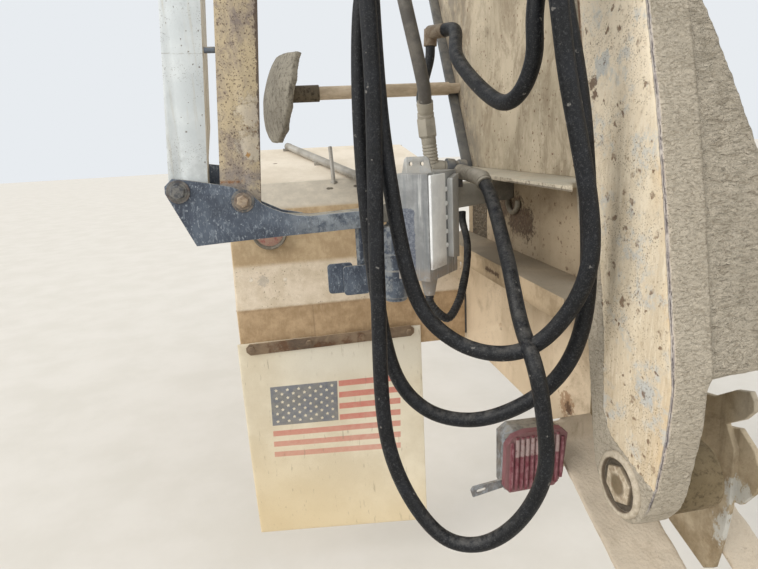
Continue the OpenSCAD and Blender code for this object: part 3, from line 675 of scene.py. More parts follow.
def white_post():
    """Chalky white paint with fine specks, tan drips, a seam and a dusty foot."""
    p = Paint("white_post", specular=0.3)
    p.colour = p.mix(p.cloud(0.36, 0.64, 7, 6, 0.65), (196, 201, 202), (212, 216, 216))
    drip = p.cloud(0.55, 0.74, 78, 5, 0.65, stretch=0.05, shift=2)
    p.tint(drip, 0.5, (184, 174, 150))
    grey = p.cloud(0.52, 0.7, 24, 7, 0.72, stretch=0.4, shift=7)
    p.tint(grey, 0.4, (168, 172, 172))
    foot = p.both(p.step(p.z, 0.56, 0.42), p.cloud(0.34, 0.6, 26, 7, 0.72, shift=5))
    p.tint(foot, 0.6, (176, 180, 180))
    # The outer flange: tan paint, made brighter as painted light.
    flange = p.step(p.nx, 0.5, 0.85)
    tan = p.mix(p.cloud(0.4, 0.6, 40, 5, 0.7, stretch=0.3), (234, 228, 214), (214, 204, 184))
    p.cover(flange, tan)
    wavy = p.plus(p.z, p.jitter(0.016, 18, 4))
    seam = p.both(p.span(wavy, 675, 677, 1.4), p.cloud(0.4, 0.56, 60, 5, 0.7, shift=3))
    p.tint(seam, 0.55, (138, 132, 122))
    specks = p.both(p.spots(380, 0.42, 0.7), p.cloud(0.42, 0.6, 12, 4, shift=8))
    p.tint(specks, 0.7, (116, 108, 100))
    few = p.either(p.spots(150, 0.34, 0.16, shift=3), p.spots(60, 0.24, 0.12, shift=9),
                   p.blot((-842, 0, 592), 5, 200))
    p.tint(few, 0.85, (104, 90, 78))
    p.bump(p.inverse(p.either(few, specks)), 0.4)
    p.bump(p.noise(200, 5, 0.7), 0.35)
    return p.done(0.62)


def bar_post():
    """Cream paint flaked to grey and brown, thick with dark specks, rusty at its foot."""
    p = Paint("bar_post", specular=0.3)
    cloud = p.cloud(0.38, 0.64, 12, 8, 0.74, stretch=0.6, warp=0.4)
    p.colour = p.mix(cloud, (190, 173, 142), (142, 130, 120))
    pale = p.cloud(0.5, 0.68, 60, 7, 0.75, stretch=0.5, shift=3)
    p.tint(pale, 0.6, (198, 182, 154))
    grey = p.both(p.cloud(0.5, 0.62, 38, 7, 0.75, shift=1), p.cloud(0.42, 0.56, 8, 4, shift=6))
    p.tint(grey, 0.65, (122, 110, 106))
    specks = p.either(p.spots(170, 0.44, 0.7, shift=4), p.spots(330, 0.45, 0.7, shift=8))
    p.tint(specks, 0.75, (88, 72, 64))
    flaky = p.either(p.blot((-662, 12, 545), 44, 70), p.blot((-668, 12, 470), 42, 70, shift=2))
    p.tint(flaky, 0.5, (206, 196, 178))
    rim = p.either(p.blot((-664, 12, 520), 26, 120, shift=5), p.blot((-650, 12, 470), 16, 140))
    p.tint(p.both(rim, p.spots(120, 0.6, 0.8)), 0.7, (112, 86, 62))
    foot = p.step(p.z, 0.435, 0.39)
    p.tint(p.both(foot, p.cloud(0.35, 0.6, 50, 7, 0.72)), 0.65, (136, 130, 128))
    line = p.both(p.span(p.z, 386, 393, 3), p.cloud(0.4, 0.55, 90, 6, 0.75, shift=3))
    line = p.both(line, p.step(p.x, -0.69, -0.71))
    p.tint(line, 0.8, (140, 96, 60))
    p.tint(p.blot((-680, 12, 449), 7, 190), 0.85, (158, 116, 58))
    lean = p.minus(p.x, p.times(p.z, 0.0634))
    edge = p.plus(lean, p.jitter(0.024, 70, 7, 0.75, shift=2))
    edge = p.step(edge, -0.6835, -0.6815)
    p.tint(edge, 0.85, (82, 68, 60))
    p.bump(p.either(specks, flaky), -0.7)
    p.bump(p.noise(160, 6, 0.75), 0.8)
    return p.done(0.78)


def shaded_box_metal():
    """Cast aluminium, its base colour darkened as painted shade: pale drips, a blue-grey stain on its outer
    face, dusty brown low down.
    """
    p = Paint("shaded_box_metal", metallic=0.1, specular=0.4)
    # Base colour of the aluminium, darkened as painted shade.
    p.colour = p.mix(p.cloud(0.36, 0.64, 16, 6, 0.65), (128, 129, 129), (158, 159, 158))
    left = p.step(p.nx, -0.2, -0.6)
    drip = p.cloud(0.48, 0.68, 120, 4, 0.6, stretch=0.05, shift=2)
    p.tint(p.both(left, drip), 0.6, (112, 116, 120))
    pale = p.cloud(0.56, 0.72, 90, 4, 0.6, stretch=0.06, shift=6)
    p.tint(pale, 0.7, (220, 220, 217))
    stain = p.both(left, p.step(p.x, -0.332, -0.344), p.span(p.z, 182, 322, 6))
    stain = p.ragged(stain, 90, 0.7, 4.0)
    mottle = p.mix(p.cloud(0.4, 0.62, 150, 5, 0.7), (70, 76, 92), (116, 122, 132))
    p.tint(stain, 0.85, mottle)
    low = p.both(p.step(p.z, 0.20, 0.175), p.cloud(0.3, 0.55, 80, 5, 0.7))
    p.tint(low, 0.75, (142, 130, 118))
    tab = p.both(p.step(p.z, 0.392, 0.398), p.cloud(0.3, 0.6, 60, 5, 0.7))
    p.tint(tab, 0.6, (160, 154, 142))
    p.bump(p.noise(260, 5, 0.7), 0.5)
    return p.done(0.6)


def lit_cover_metal():
    p = Paint("lit_cover_metal", metallic=0.1, specular=0.4)
    # Near-white base colour: the aluminium made lighter as painted light.
    p.colour = p.mix(p.cloud(0.36, 0.64, 20, 6, 0.65), (226, 227, 226), (242, 243, 241))
    flange = p.step(p.plus(p.x, p.y), -0.44, -0.43)
    p.tint(flange, 0.85, p.mix(p.noise(60, 5, 0.7), (112, 109, 102), (140, 136, 128)))
    p.tint(p.both(p.step(p.z, 0.22, 0.195), p.noise(70, 5, 0.7)), 0.9, (146, 132, 118))
    p.bump(p.noise(260, 5, 0.7), 0.4)
    return p.done(0.55)


FORK_STEEL = fork_steel("fork_steel", True)
PLATE_STEEL = fork_steel("plate_steel", False)
WHITE_PAINT = white_post()
BAR_PAINT = bar_post()
SHADED_BOX_METAL = shaded_box_metal()
LIT_COVER_METAL = lit_cover_metal()


def rubber(name, base, light, wear=0.5, dusty=0.4):
    """Black rubber with fine pale wear and some dust on top."""
    p = Paint(name, specular=0.25)
    broad = p.cloud(0.4, 0.66, 16, 7, 0.72)
    p.colour = p.over(base, broad, 0.7, light)
    worn = p.cloud(0.52, 0.7, 190, 6, 0.74, shift=4)
    p.tint(worn, wear * 0.7, (96, 97, 99))
    fine = p.cloud(0.56, 0.7, 520, 4, 0.65, shift=1)
    p.tint(fine, wear * 0.6, (124, 123, 120))
    dust = p.both(p.step(p.nz, 0.1, 0.95), p.cloud(0.38, 0.66, 60, 7, 0.75, shift=3))
    p.tint(dust, dusty, (130, 126, 120))
    nicks = p.spots(90, 0.3, 0.18, shift=6)
    p.tint(nicks, 0.5, (140, 136, 130))
    p.bump(worn, 0.3)
    p.bump(p.noise(330, 4, 0.6), 0.4)
    return p.done(p.blend(worn, 0.46, 0.8))


HOSE_RUBBER = rubber("hose_rubber", (11, 12, 15), (26, 28, 33), 0.5, 0.3)
DUSTY_RUBBER = rubber("dusty_rubber", (24, 25, 29), (58, 58, 58), 0.6)
PALE_RUBBER = rubber("pale_rubber", (84, 80, 75), (118, 112, 103), 0.6, 0.6)


def lens_material():
    """Red plastic, its ribs pale with dried wash, and a dull window near its top."""
    p = Paint("red_lens", specular=0.5)
    p.colour = p.mix(p.noise(30, 4), (84, 20, 36), (118, 36, 52))
    dirt = p.cloud(0.38, 0.62, 60, 7, 0.74)
    p.tint(dirt, 0.45, (142, 110, 112))
    crest = p.both(p.step(p.y, -0.3365, -0.338), p.cloud(0.44, 0.6, 150, 6, 0.72, stretch=0.4))
    p.tint(crest, 0.5, (172, 134, 138))
    window = p.both(p.span(p.x, -157, -52, 2), p.span(p.z, -232, -190, 2))
    window = p.both(window, p.cloud(0.28, 0.5, 90, 5, 0.7, shift=3))
    p.tint(p.both(window, p.step(p.ny, -0.2, -0.5)), 0.6, (186, 172, 166))
    groove = p.step(p.y, -0.3365, -0.333)
    p.tint(p.both(groove, p.step(p.ny, 0.2, -0.2)), 0.5, (134, 108, 104))
    p.bump(p.noise(220, 4, 0.6), 0.4)
    return p.done(p.blend(dirt, 0.4, 0.85))


def lamp_extra(p):
    """Pale wash dried on the housing's outer side."""
    wash = p.both(p.step(p.x, -0.12, -0.17), p.cloud(0.42, 0.58, 75, 7, 0.75, stretch=0.5))
    p.tint(wash, 0.7, (146, 150, 154))
    brown = p.cloud(0.5, 0.64, 34, 7, 0.74, shift=5)
    p.tint(brown, 0.5, (112, 98, 84))


def marker_lens():
    p = Paint("marker_lens", specular=0.5)
    dirt = p.cloud(0.3, 0.56, 90, 6, 0.72)
    p.colour = p.mix(p.noise(60, 3), (128, 58, 58), (148, 84, 78))
    p.tint(dirt, 0.7, (160, 140, 120))
    p.bump(p.noise(240, 4, 0.6), 0.5)
    return p.done(0.7)


RED_LENS = lens_material()
MARKER_LENS = marker_lens()
LAMP_GREY = steel("lamp_grey", (104, 102, 100), (150, 156, 164), (76, 74, 70), rust=0.3, scratches=0.1,
                  rough=0.75, extra=lamp_extra)


# Cords: their points are those of the part, in millimetres
FIRST_FALL = [
    (-186, -234.4, 365.7), (-185.6, -256.1, 352.4), (-210, -410, 240), (-220, -495, 140),
    (-230, -570, 95), (-225, -590, 40), (-215, -585, -115), (-260, -560, -225), (-315, -530, -275),
    (-365, -505, -275), (-410, -480, -230), (-460, -450, -100), (-465, -440, 230), (-455, -435, 565),
    (-460, -435, 790),
]
SECOND_FALL = [
    (-215, -560, 790), (-190, -570, 580), (-150, -595, 265), (-185, -565, 155), (-230, -535, 105),
    (-285, -505, 95), (-340, -470, 115), (-390, -445, 175), (-435, -415, 445), (-445, -400, 790),
]
THIRD_FALL = [
    (-200, -530, 790), (-145, -555, 460), (-135, -550, 130), (-180, -520, 20), (-270, -470, -50),
    (-335, -435, -60), (-385, -410, -40), (-430, -390, 25), (-465, -360, 350), (-455, -355, 685),
    (-430, -370, 790),
]
RETURN_FALL = [
    (-185, -495, 790), (-205, -500, 645), (-200, -490, 585), (-210, -465, 535), (-220, -415, 520),
    (-240, -225, 620), (-213.7, -127.5, 692.5), (-225.8, -98.5, 695),
]
SUPPLY = [
    (-276.1, -100.2, 547.4), (-280, -112, 570), (-317, -115, 745), (-323, -87, 813), (-315, -19, 891),
    (-278, 83, 964), (-200, 200, 1010), (-95, 330, 1000),
]
RISER = [(-268, -44.6, 545.3), (-267.6, -30.5, 558.8), (-247.3, -50, 646), (-246, -50, 669.5)]
CONDUIT = [
    (-303, -190, 121.5), (-303, -190, 104), (-260, -180, 58), (-219, -143, 84), (-191, -102, 122),
    (-168, -60, 159), (-152, -15, 207), (-148, 30, 252), (-148, 30, 275.6),
]
SADDLE_AT = np.array([-324.0, -465.0, 900.0])
SADDLE_TURN = math.radians(-27)
LAY_R, LAY_GAP = 138.0, 34.0
HOSE_D, SUPPLY_D, RISER_D, CONDUIT_D = 28.0, 30.0, 22.0, 20.0
CORD_SIDES = 18


def over_saddle(k):
    """The half turn that hangs over the saddle, at distance k from its middle."""
    across = np.array([math.cos(SADDLE_TURN), math.sin(SADDLE_TURN), 0])
    along = np.array([-math.sin(SADDLE_TURN), math.cos(SADDLE_TURN), 0])
    turn = [math.radians(a) for a in range(0, 181, 15)]
    return [SADDLE_AT + LAY_R * np.array([0, 0, math.sin(a)]) + k * along - LAY_R * math.cos(a) * across
            for a in turn]


def smooth_path(points, step):
    """One smooth curve through the points, in even steps."""
    pts = np.asarray(points, float)
    ends = np.vstack([2 * pts[0] - pts[1], pts, 2 * pts[-1] - pts[-2]])
    out = []
    for i in range(1, len(ends) - 2):
        p0, p1, p2, p3 = ends[i - 1:i + 3]
        t0 = 0.0
        t1 = np.linalg.norm(p1 - p0) ** 0.5
        t2 = t1 + np.linalg.norm(p2 - p1) ** 0.5
        t3 = t2 + np.linalg.norm(p3 - p2) ** 0.5
        n = max(2, int(np.linalg.norm(p2 - p1) / 2))
        for t in np.linspace(t1, t2, n, endpoint=False):
            a1 = (t1 - t) / (t1 - t0) * p0 + (t - t0) / (t1 - t0) * p1
            a2 = (t2 - t) / (t2 - t1) * p1 + (t - t1) / (t2 - t1) * p2
            a3 = (t3 - t) / (t3 - t2) * p2 + (t - t2) / (t3 - t2) * p3
            b1 = (t2 - t) / (t2 - t0) * a1 + (t - t0) / (t2 - t0) * a2
            b2 = (t3 - t) / (t3 - t1) * a2 + (t - t1) / (t3 - t1) * a3
            out.append((t2 - t) / (t2 - t1) * b1 + (t - t1) / (t2 - t1) * b2)
    out.append(pts[-1])
    out = np.array(out)
    run = np.concatenate([[0], np.cumsum(np.linalg.norm(np.diff(out, axis=0), axis=1))])
    marks = np.linspace(0, run[-1], max(2, int(run[-1] / step)) + 1)
    even = np.column_stack([np.interp(marks, run, out[:, k]) for k in range(3)])
    for _ in range(4):
        even[1:-1] = 0.25 * even[:-2] + 0.5 * even[1:-1] + 0.25 * even[2:]
    return even


def add_cord(name, points, diameter, material, node, step=8.0, radius=None):
    path = smooth_path(points, step)
    thick = radius(path) if radius else diameter / 2
    shape = Shape().sweep(path, thick, CORD_SIDES)
    piece = shape.make(name, material, "black_rubber", replaces=node, sharp=80)


def ribbed(path):
    """Radius of the conduit: ridges on its lower bend, black tape over the rest."""
    waves = np.resize(np.array([-1.6, -0.4, 0.2, 0.2, -0.4]), len(path))
    share = np.linspace(0, 1, len(path))
    tape = -0.6 - 0.5 * np.floor(share * 9 % 2)
    return CONDUIT_D / 2 + np.where(share < 0.5, waves, tape)


def coil_points():
    return np.vstack([FIRST_FALL, over_saddle(-LAY_GAP), SECOND_FALL, over_saddle(0), THIRD_FALL,
                      over_saddle(LAY_GAP), RETURN_FALL])


def add_cords():
    add_cord("washdown_hose", coil_points(), HOSE_D, HOSE_RUBBER, "hose_coil")
    add_cord("supply_line", SUPPLY, SUPPLY_D, PALE_RUBBER, "supply_hose")
    add_cord("riser_line", RISER, RISER_D, DUSTY_RUBBER, "riser_hose", step=5.0)
    add_cord("ribbed_conduit", CONDUIT, CONDUIT_D, DUSTY_RUBBER, "box_conduit", step=1.6, radius=ribbed)


add_cords()


# Fender: one folded sheet with rounded folds and a turned lip
FEN_X0, FEN_X1, SHEET = -781.0, -20.0, 3.0
FEN_MID, FEN_TOP = 1790.0, 440.0
FEN_HALF = [(400, -215), (400, -40), (455, 92), (495, 265), (640, 340), (1300, FEN_TOP)]
LIP, LIP_BEND = 28.0, 6.0
DENT, DENT_EDGE = 2.2, 60


def rounded(points, radius, steps=4):
    """An outline in the plane with its corners rounded."""
    pts = [np.array(p, float) for p in points]
    out = [pts[0]]
    for a, b, c in zip(pts, pts[1:], pts[2:]):
        u, v = unit(a - b), unit(c - b)
        half = math.acos(np.clip(np.dot(u, v), -1, 1)) / 2
        cut = min(radius / max(math.tan(half), 1e-3),
                  0.4 * np.linalg.norm(a - b), 0.4 * np.linalg.norm(c - b))
        start, end = b + u * cut, b + v * cut
        for k in range(steps + 1):
            t = k / steps
            out.append((1 - t) ** 2 * start + 2 * t * (1 - t) * b + t ** 2 * end)
    out.append(pts[-1])
    return np.array(out)


def filled(points, step):
    """The same line with points added so that none lies further than step from the next."""
    out = [points[0]]
    for a, b in zip(points, points[1:]):
        n = max(1, int(math.ceil(np.linalg.norm(b - a) / step)))
        out += [a + (b - a) * k / n for k in range(1, n + 1)]
    return np.array(out)


def fender_dent(x, y, z):
    """Shallow waves of an old sheet, none at its edges."""
    hold = min(1.0, (x - FEN_X0) / DENT_EDGE) * min(1.0, (FEN_X1 - x) / DENT_EDGE)
    return DENT * hold * noise.noise(Vector((x * 0.004, y * 0.005, z * 0.006 + 3)))


def fender():
    """The sheet from its rear foot over the top to its front one, its outer side turned down as a lip."""
    line = list(FEN_HALF) + [(2 * FEN_MID - y, z) for y, z in reversed(FEN_HALF)]
    line = filled(rounded(line, 14), 28)
    along = np.gradient(line, axis=0)
    along /= np.linalg.norm(along, axis=1)[:, None]
    inward = np.column_stack([along[:, 1], -along[:, 0]])
    across = [(x, 0.0) for x in np.linspace(FEN_X1, FEN_X0 + LIP_BEND, 28)]
    across += [(FEN_X0 + LIP_BEND * (1 - math.sin(a)), LIP_BEND * (1 - math.cos(a)))
               for a in np.radians([30, 60, 90])]
    across += [(FEN_X0, 16.0), (FEN_X0, LIP)]
    points = []
    for (y, z), n in zip(line, inward):
        for x, drop in across:
            d = drop + (fender_dent(x, y, z) if drop == 0 else 0)
            points.append((x, y + n[0] * d, z + n[1] * d))
    obj = Shape().add(points, grid_faces(len(line), len(across))).build("fender_sheet")
    mod = obj.modifiers.new("sheet", 'SOLIDIFY')
    mod.thickness = SHEET * MM
    mod.offset = -1
    finished(applied(obj), fender_paint(), replaces=("fender_shell", "fender_lip"),
             sharp=50)


def fender_paint():
    """Pale dust on the top, splashed mud on the middle face, brown brush marks on the lowest one."""
    p = Paint("fender_paint", specular=0.2)
    cloud = p.cloud(0.35, 0.65, 6, 7, 0.68, stretch=(1, 0.6, 1))
    top = p.mix(cloud, (208, 195, 175), (222, 210, 192))
    top = p.over(top, p.cloud(0.56, 0.72, 16, 8, 0.72, shift=4), 0.4, (190, 174, 150))
    slope = p.mix(p.cloud(0.35, 0.65, 18, 7, 0.7, shift=8), (182, 173, 158), (200, 190, 173))
    # Painted shade: dark spots stand for slots in the slope, which are not cut.
    slots = p.either(p.ball((-440, 588, 313), 6, 4), p.ball((-345, 592, 315), 6, 4),
                     p.ball((-431, 588, 313), 5, 4), p.ball((-336, 592, 315), 5, 4))
    slope = p.over(slope, slots, 0.9, (84, 76, 66))
    brush = p.noise(120, 7, 0.74, stretch=0.22, shift=1)
    mottle = p.noise(22, 8, 0.74, shift=6)
    step = p.mix(p.step(mottle, 0.38, 0.64), (172, 149, 118), (192, 170, 138))
    step = p.over(step, p.step(brush, 0.5, 0.66), 0.25, (206, 186, 156))
    mid = p.mix(p.cloud(0.36, 0.64, 15, 8, 0.72, shift=7), (200, 184, 160), (218, 203, 182))
    mid = p.over(mid, p.cloud(0.5, 0.68, 70, 8, 0.76, shift=11), 0.45, (228, 216, 198))
    mid = p.over(mid, p.cloud(0.56, 0.7, 40, 8, 0.74, shift=15), 0.4, (176, 156, 128))
    mid = p.over(mid, p.blot((-688, 430, 45), 22, 100), 0.55, (160, 152, 142))
    lumps = p.either(p.blot((-727, 440, 49), 8, 150), p.blot((-651, 460, 95), 8, 150, shift=1),
                     p.blot((-619, 436, 42), 7, 150, shift=2))
    mid = p.over(mid, lumps, 0.6, (236, 226, 210))
    crumbs = p.both(p.spots(170, 0.46, 0.35, shift=5), p.cloud(0.46, 0.58, 10, 4, shift=2))
    mid = p.over(mid, crumbs, 0.6, (122, 106, 88))
    low = p.mix(p.step(mottle, 0.36, 0.66), (160, 135, 104), (186, 160, 128))
    low = p.over(low, p.step(brush, 0.5, 0.68), 0.35, (202, 178, 146))
    low = p.over(low, p.cloud(0.54, 0.68, 60, 7, 0.75, stretch=0.4, shift=3), 0.4, (132, 110, 84))
    joint = p.both(p.span(p.x, -540, -536, 1.5), p.step(p.z, -0.03, -0.05))
    low = p.over(low, joint, 0.35, (122, 104, 84))
    edge = p.both(p.span(p.z, -48, -36, 3), p.cloud(0.4, 0.6, 50, 6, 0.72))
    p.colour = p.mix(p.step(p.z, -0.036, -0.044), mid, low)
    p.tint(edge, 0.35, (140, 118, 92))
    p.cover(p.step(p.z, 0.08, 0.1), step)
    p.cover(p.both(p.step(p.z, 0.255, 0.275), p.step(p.nz, 0.5, 0.7)), slope)
    p.cover(p.both(p.step(p.z, 0.333, 0.345), p.step(p.nz, 0.93, 0.97)), top)
    # Painted highlight: the turned-down lip is made lighter than the sheet.
    lip = p.step(p.nx, -0.5, -0.8)
    p.tint(lip, 0.6, (206, 188, 160))
    rust = p.blot((-610, 1000, 394), 10, 110)
    chip = p.either(rust, p.cloud(0.73, 0.76, 44, 8, 0.75, shift=12))
    p.cover(chip, p.mix(p.noise(150, 3), RUST_DARK, RUST))
    grit = p.cloud(0.6, 0.72, 480, 3, 0.6)
    p.tint(grit, 0.3, (150, 130, 104))
    p.bump(p.noise(95, 7, 0.75), 0.9)
    p.bump(p.both(p.either(p.noise(70, 8, 0.76, shift=11), lumps), p.span(p.z, -44, 95, 4)), 1.6)
    p.bump(p.noise(420, 4, 0.7), 0.5)
    return p.done(0.9)


fender()


# Flap: cream rubber sheet, its outer lower corner curling forward
FLAP_X0, FLAP_W, FLAP_TOP, FLAP_H, FLAP_T, FLAP_Y = -790.0, 610.0, -150.0, 762.0, 10.0, 400.0
FLAP_CURL, FLAP_FLAT, FLAP_EDGE = 105.0, 0.125, 3.0
FLAG_LEFT, FLAG_RIGHT = (-701.0, -710.0), (-258.0, -259.0)
FLAG_TOP, FLAG_FOOT = (-309.0, -320.0), (-576.0, -602.0)
STRIPES = 13
CANTON_SHARE, CANTON_FOOT = 0.506, 7 / STRIPES
STAR_COLUMNS, STAR_ROWS, STAR_MM = 12, 10, 5.0


def flap_marks(length, count):
    """Places along one side of the flap, from 0 to 1, close together at its rounded edges."""
    near = [k * FLAP_EDGE / length for k in (0, 0.35, 1)]
    return np.concatenate([near, np.linspace(0.02, 0.98, count), [1 - k for k in reversed(near)]])


def flap_point(u, v, front):
    """A point of the front or rear face, at u across and v down."""
    soft = min(u * FLAP_W, (1 - u) * FLAP_W, v * FLAP_H, (1 - v) * FLAP_H)
    inset = FLAP_EDGE - math.sqrt(max(0, FLAP_EDGE ** 2 - max(0, FLAP_EDGE - soft) ** 2))
    wave = 1.5 * noise.noise(Vector((u * 3, v * 3, 0.5))) * min(1, max(0, v - 0.1) * 5)
    y = FLAP_Y - FLAP_T + FLAP_CURL * (1 - u) * max(0, v - FLAP_FLAT) ** 2 + wave
    return (FLAP_X0 + FLAP_W * u, y + inset if front else y + FLAP_T - inset, FLAP_TOP - FLAP_H * v)


def flap():
    us, vs = flap_marks(FLAP_W, 40), flap_marks(FLAP_H, 50)
    m, n = len(us), len(vs)
    points = [flap_point(u, v, front) for front in (True, False) for v in vs for u in us]
    faces = grid_faces(n, m) + grid_faces(n, m, m * n)
    rim = list(range(m)) + [j * m + m - 1 for j in range(1, n)]
    rim += [(n - 1) * m + i for i in range(m - 2, -1, -1)] + [j * m for j in range(n - 2, 0, -1)]
    faces += [(a, b, b + m * n, a + m * n) for a, b in zip(rim, rim[1:] + rim[:1])]
    shape = Shape().add(points, faces)
    shape.make("mud_flap", flap_material(), "flap_rubber", replaces="flap", sharp=60)


def flap_material():
    """Cream rubber, specked and rained on, with a faded flag of stripes and stars."""
    p = Paint("flap_sheet", specular=0.3)
    across = p.divide(p.minus(p.x, FLAP_X0 * MM), FLAP_W * MM)
    fall = p.divide(p.minus(FLAP_TOP * MM, p.z), FLAP_H * MM)
    p.colour = p.mix(p.cloud(0.35, 0.65, 5, 6, 0.65), (208, 196, 172), (222, 212, 190))
    p.tint(p.step(p.minus(fall, p.times(across, 0.35)), 0.2, 0.95), 0.75, (214, 192, 150))
    p.tint(p.both(p.step(fall, 0.3, 0.12), p.step(across, 0.05, 0.4)), 0.6, (216, 212, 200))
    flag(p)
    rain = p.cloud(0.62, 0.72, 115, 4, 0.62, stretch=0.14, shift=2)
    p.tint(rain, 0.42, (146, 132, 110))
    p.tint(p.cloud(0.62, 0.8, 28, 8, 0.75, shift=9), 0.5, (196, 168, 122))
    p.tint(p.cloud(0.55, 0.72, 520, 3, 0.6), 0.25, (166, 148, 120))
    p.bump(p.noise(300, 5, 0.7), 0.6)
    p.bump(rain, -0.4)
    return p.done(0.82)


def slanted(p, u, ends):
    """Where a slanted edge of the flag lies, u of the way between its ends in millimetres."""
    return p.plus(ends[0] * MM, p.times(u, (ends[1] - ends[0]) * MM))


def flag_axes(p):
    """Place on the flag: 0 to 1 from left to right, and 0 to 1 from top to foot."""
    fall = p.divide(p.minus(FLAG_TOP[0] * MM, p.z), (FLAG_TOP[0] - FLAG_FOOT[0]) * MM)
    left = slanted(p, fall, FLAG_LEFT)
    u = p.divide(p.minus(p.x, left), (FLAG_RIGHT[0] - FLAG_LEFT[0]) * MM)
    top, foot = slanted(p, u, FLAG_TOP), slanted(p, u, FLAG_FOOT)
    return u, p.divide(p.minus(top, p.z), p.minus(top, foot))


def flag(p):
    """The flag's red stripes and its blue field with stars left bare, worn thin in places."""
    u, v = flag_axes(p)
    inside = p.both(p.band(u, 0, 1, 0.003), p.band(v, 0, 1, 0.004))
    stripes = p.step(p.math('SINE', p.times(v, math.pi * STRIPES)), -0.12, 0.12)
    field = p.both(p.step(u, CANTON_SHARE + 0.002, CANTON_SHARE - 0.002),
                   p.step(v, CANTON_FOOT + 0.002, CANTON_FOOT - 0.002))
    clear = p.either(p.step(u, CANTON_SHARE + 0.008, CANTON_SHARE + 0.012),
                     p.step(v, CANTON_FOOT + 0.002, CANTON_FOOT + 0.006))
    ink = p.either(field, p.both(stripes, clear))
    worn = p.blend(p.noise(55, 7, 0.75, shift=6), 0.55, 1.1)
    fade = p.blend(p.step(v, 0.3, 1.05), 1.0, 0.72)
    share = p.both(inside, ink, p.step(p.ny, -0.5, -0.8), worn, fade)
    bare = p.both(field, star_field(p, u, v))
    blue = p.mix(p.cloud(0.42, 0.62, 16, 6, 0.7, shift=3), (84, 94, 112), (96, 100, 106))
    red = p.mix(p.noise(30, 6, 0.7), (188, 98, 88), (200, 120, 106))
    p.cover(p.both(share, p.inverse(bare)), p.mix(field, red, blue))


def star_field(p, u, v):
    """Small stars at every second point of a lattice over the field."""
    across = p.times(u, STAR_COLUMNS / CANTON_SHARE)
    down = p.times(v, STAR_ROWS / CANTON_FOOT)
    col, row = p.math('ROUND', across), p.math('ROUND', down)
    even = p.step(p.math('MODULO', p.plus(col, row), 2.0), 0.6, 0.4)
    inner = p.both(p.band(col, 0.5, STAR_COLUMNS - 0.5, 0.1), p.band(row, 0.5, STAR_ROWS - 0.5, 0.1))
    width = (FLAG_RIGHT[0] - FLAG_LEFT[0]) * CANTON_SHARE / STAR_COLUMNS
    height = (FLAG_TOP[0] - FLAG_FOOT[0]) * CANTON_FOOT / STAR_ROWS
    dx = p.times(p.minus(across, col), width)
    dz = p.times(p.minus(down, row), height)
    far = p.math('SQRT', p.plus(p.math('POWER', dx, 2.0), p.math('POWER', dz, 2.0)))
    angle = p.math('ARCTAN2', dx, p.times(dz, -1.0))
    lobes = p.math('COSINE', p.times(angle, 5.0))
    reach = p.times(p.plus(1.0, p.times(lobes, 0.3)), STAR_MM * 0.86)
    star = p.step(p.minus(reach, far), -0.4, 0.4)
    return p.both(star, p.both(even, inner))


flap()


# Plates and pieces that keep the shape of the part, with eased edges
def eased_pieces():
    for node, material, slot, width in [
        ("frame_plate", FRAME_PAINT, "dusty_tan_paint", 1.5),
        ("base_web", WEB_PAINT, "dusty_tan_paint", 1.0),
        ("shelf_plate", SHELF_PAINT, "dusty_tan_paint", 1.5),
        ("ledge_plate", LEDGE_PAINT, "dusty_tan_paint", 1.5),
        ("end_plate", WEB_PAINT, "dusty_tan_paint", 1.0),
        ("pedestal_plate", PEDESTAL_PAINT, "dusty_tan_paint", 1.5),
        ("pedestal_fold", FOLD_STEEL, "blue_grey_steel", 1.5),
        ("pedestal_cap", PEDESTAL_PAINT, "dusty_tan_paint", 1.5),
        ("guard_bracket", GUARD_PAINT, "dusty_tan_paint", 2.0),
        ("bracket_arm", FORK_STEEL, "blue_grey_steel", 1.6),
        ("bracket_front_plate", PLATE_STEEL, "blue_grey_steel", 1.6),
        ("bracket_tube", TUBE_STEEL, "blue_grey_steel", 3.0),
        ("post_channel", WHITE_PAINT, "white_paint", 1.5),
        ("post_bar", BAR_PAINT, "flaked_paint_rust", 1.6),
        ("post_tie", BLUE_STEEL, "blue_grey_steel", 1.5),
        ("fender_hanger", DARK_STEEL, "bare_rusty_steel", 1.2),
        ("fender_struts", DARK_STEEL, "bare_rusty_steel", 2.0),
        ("flap_bar", RUSTY_STEEL, "bare_rusty_steel", 1.2),
        ("junction_box", SHADED_BOX_METAL, "box_aluminium", 2.5),
        ("box_cover", LIT_COVER_METAL, "box_aluminium", 1.5),
        ("box_bracket", DARK_STEEL, "bare_rusty_steel", 1.0),
        ("hose_saddle", BLUE_STEEL, "blue_grey_steel", 1.5),
        ("tail_lamp", LAMP_GREY, "lamp_grey", 1.5),
        ("arm_stop", DUSTY_RUBBER, "black_rubber", 2.0),
        ("lifting_hoop", HOOP_STEEL, "bare_rusty_steel", 0.5),
        ("fender_pipe", PIPE_METAL, "pipe_metal", 0.5),
        ("water_elbow", ELBOW, "pipe_metal", 1.0),
        ("paddle_rod", ROD_MORTAR, "mortar_crusted_steel", 1.5),
        ("pivot_bracket", HUB_MORTAR, "bare_rusty_steel", 2.0),
    ]:
        eased(node, material, width)
    eased("arm_seat", MORTAR_SKIN, 2.0, body="axle_arm")


eased_pieces()


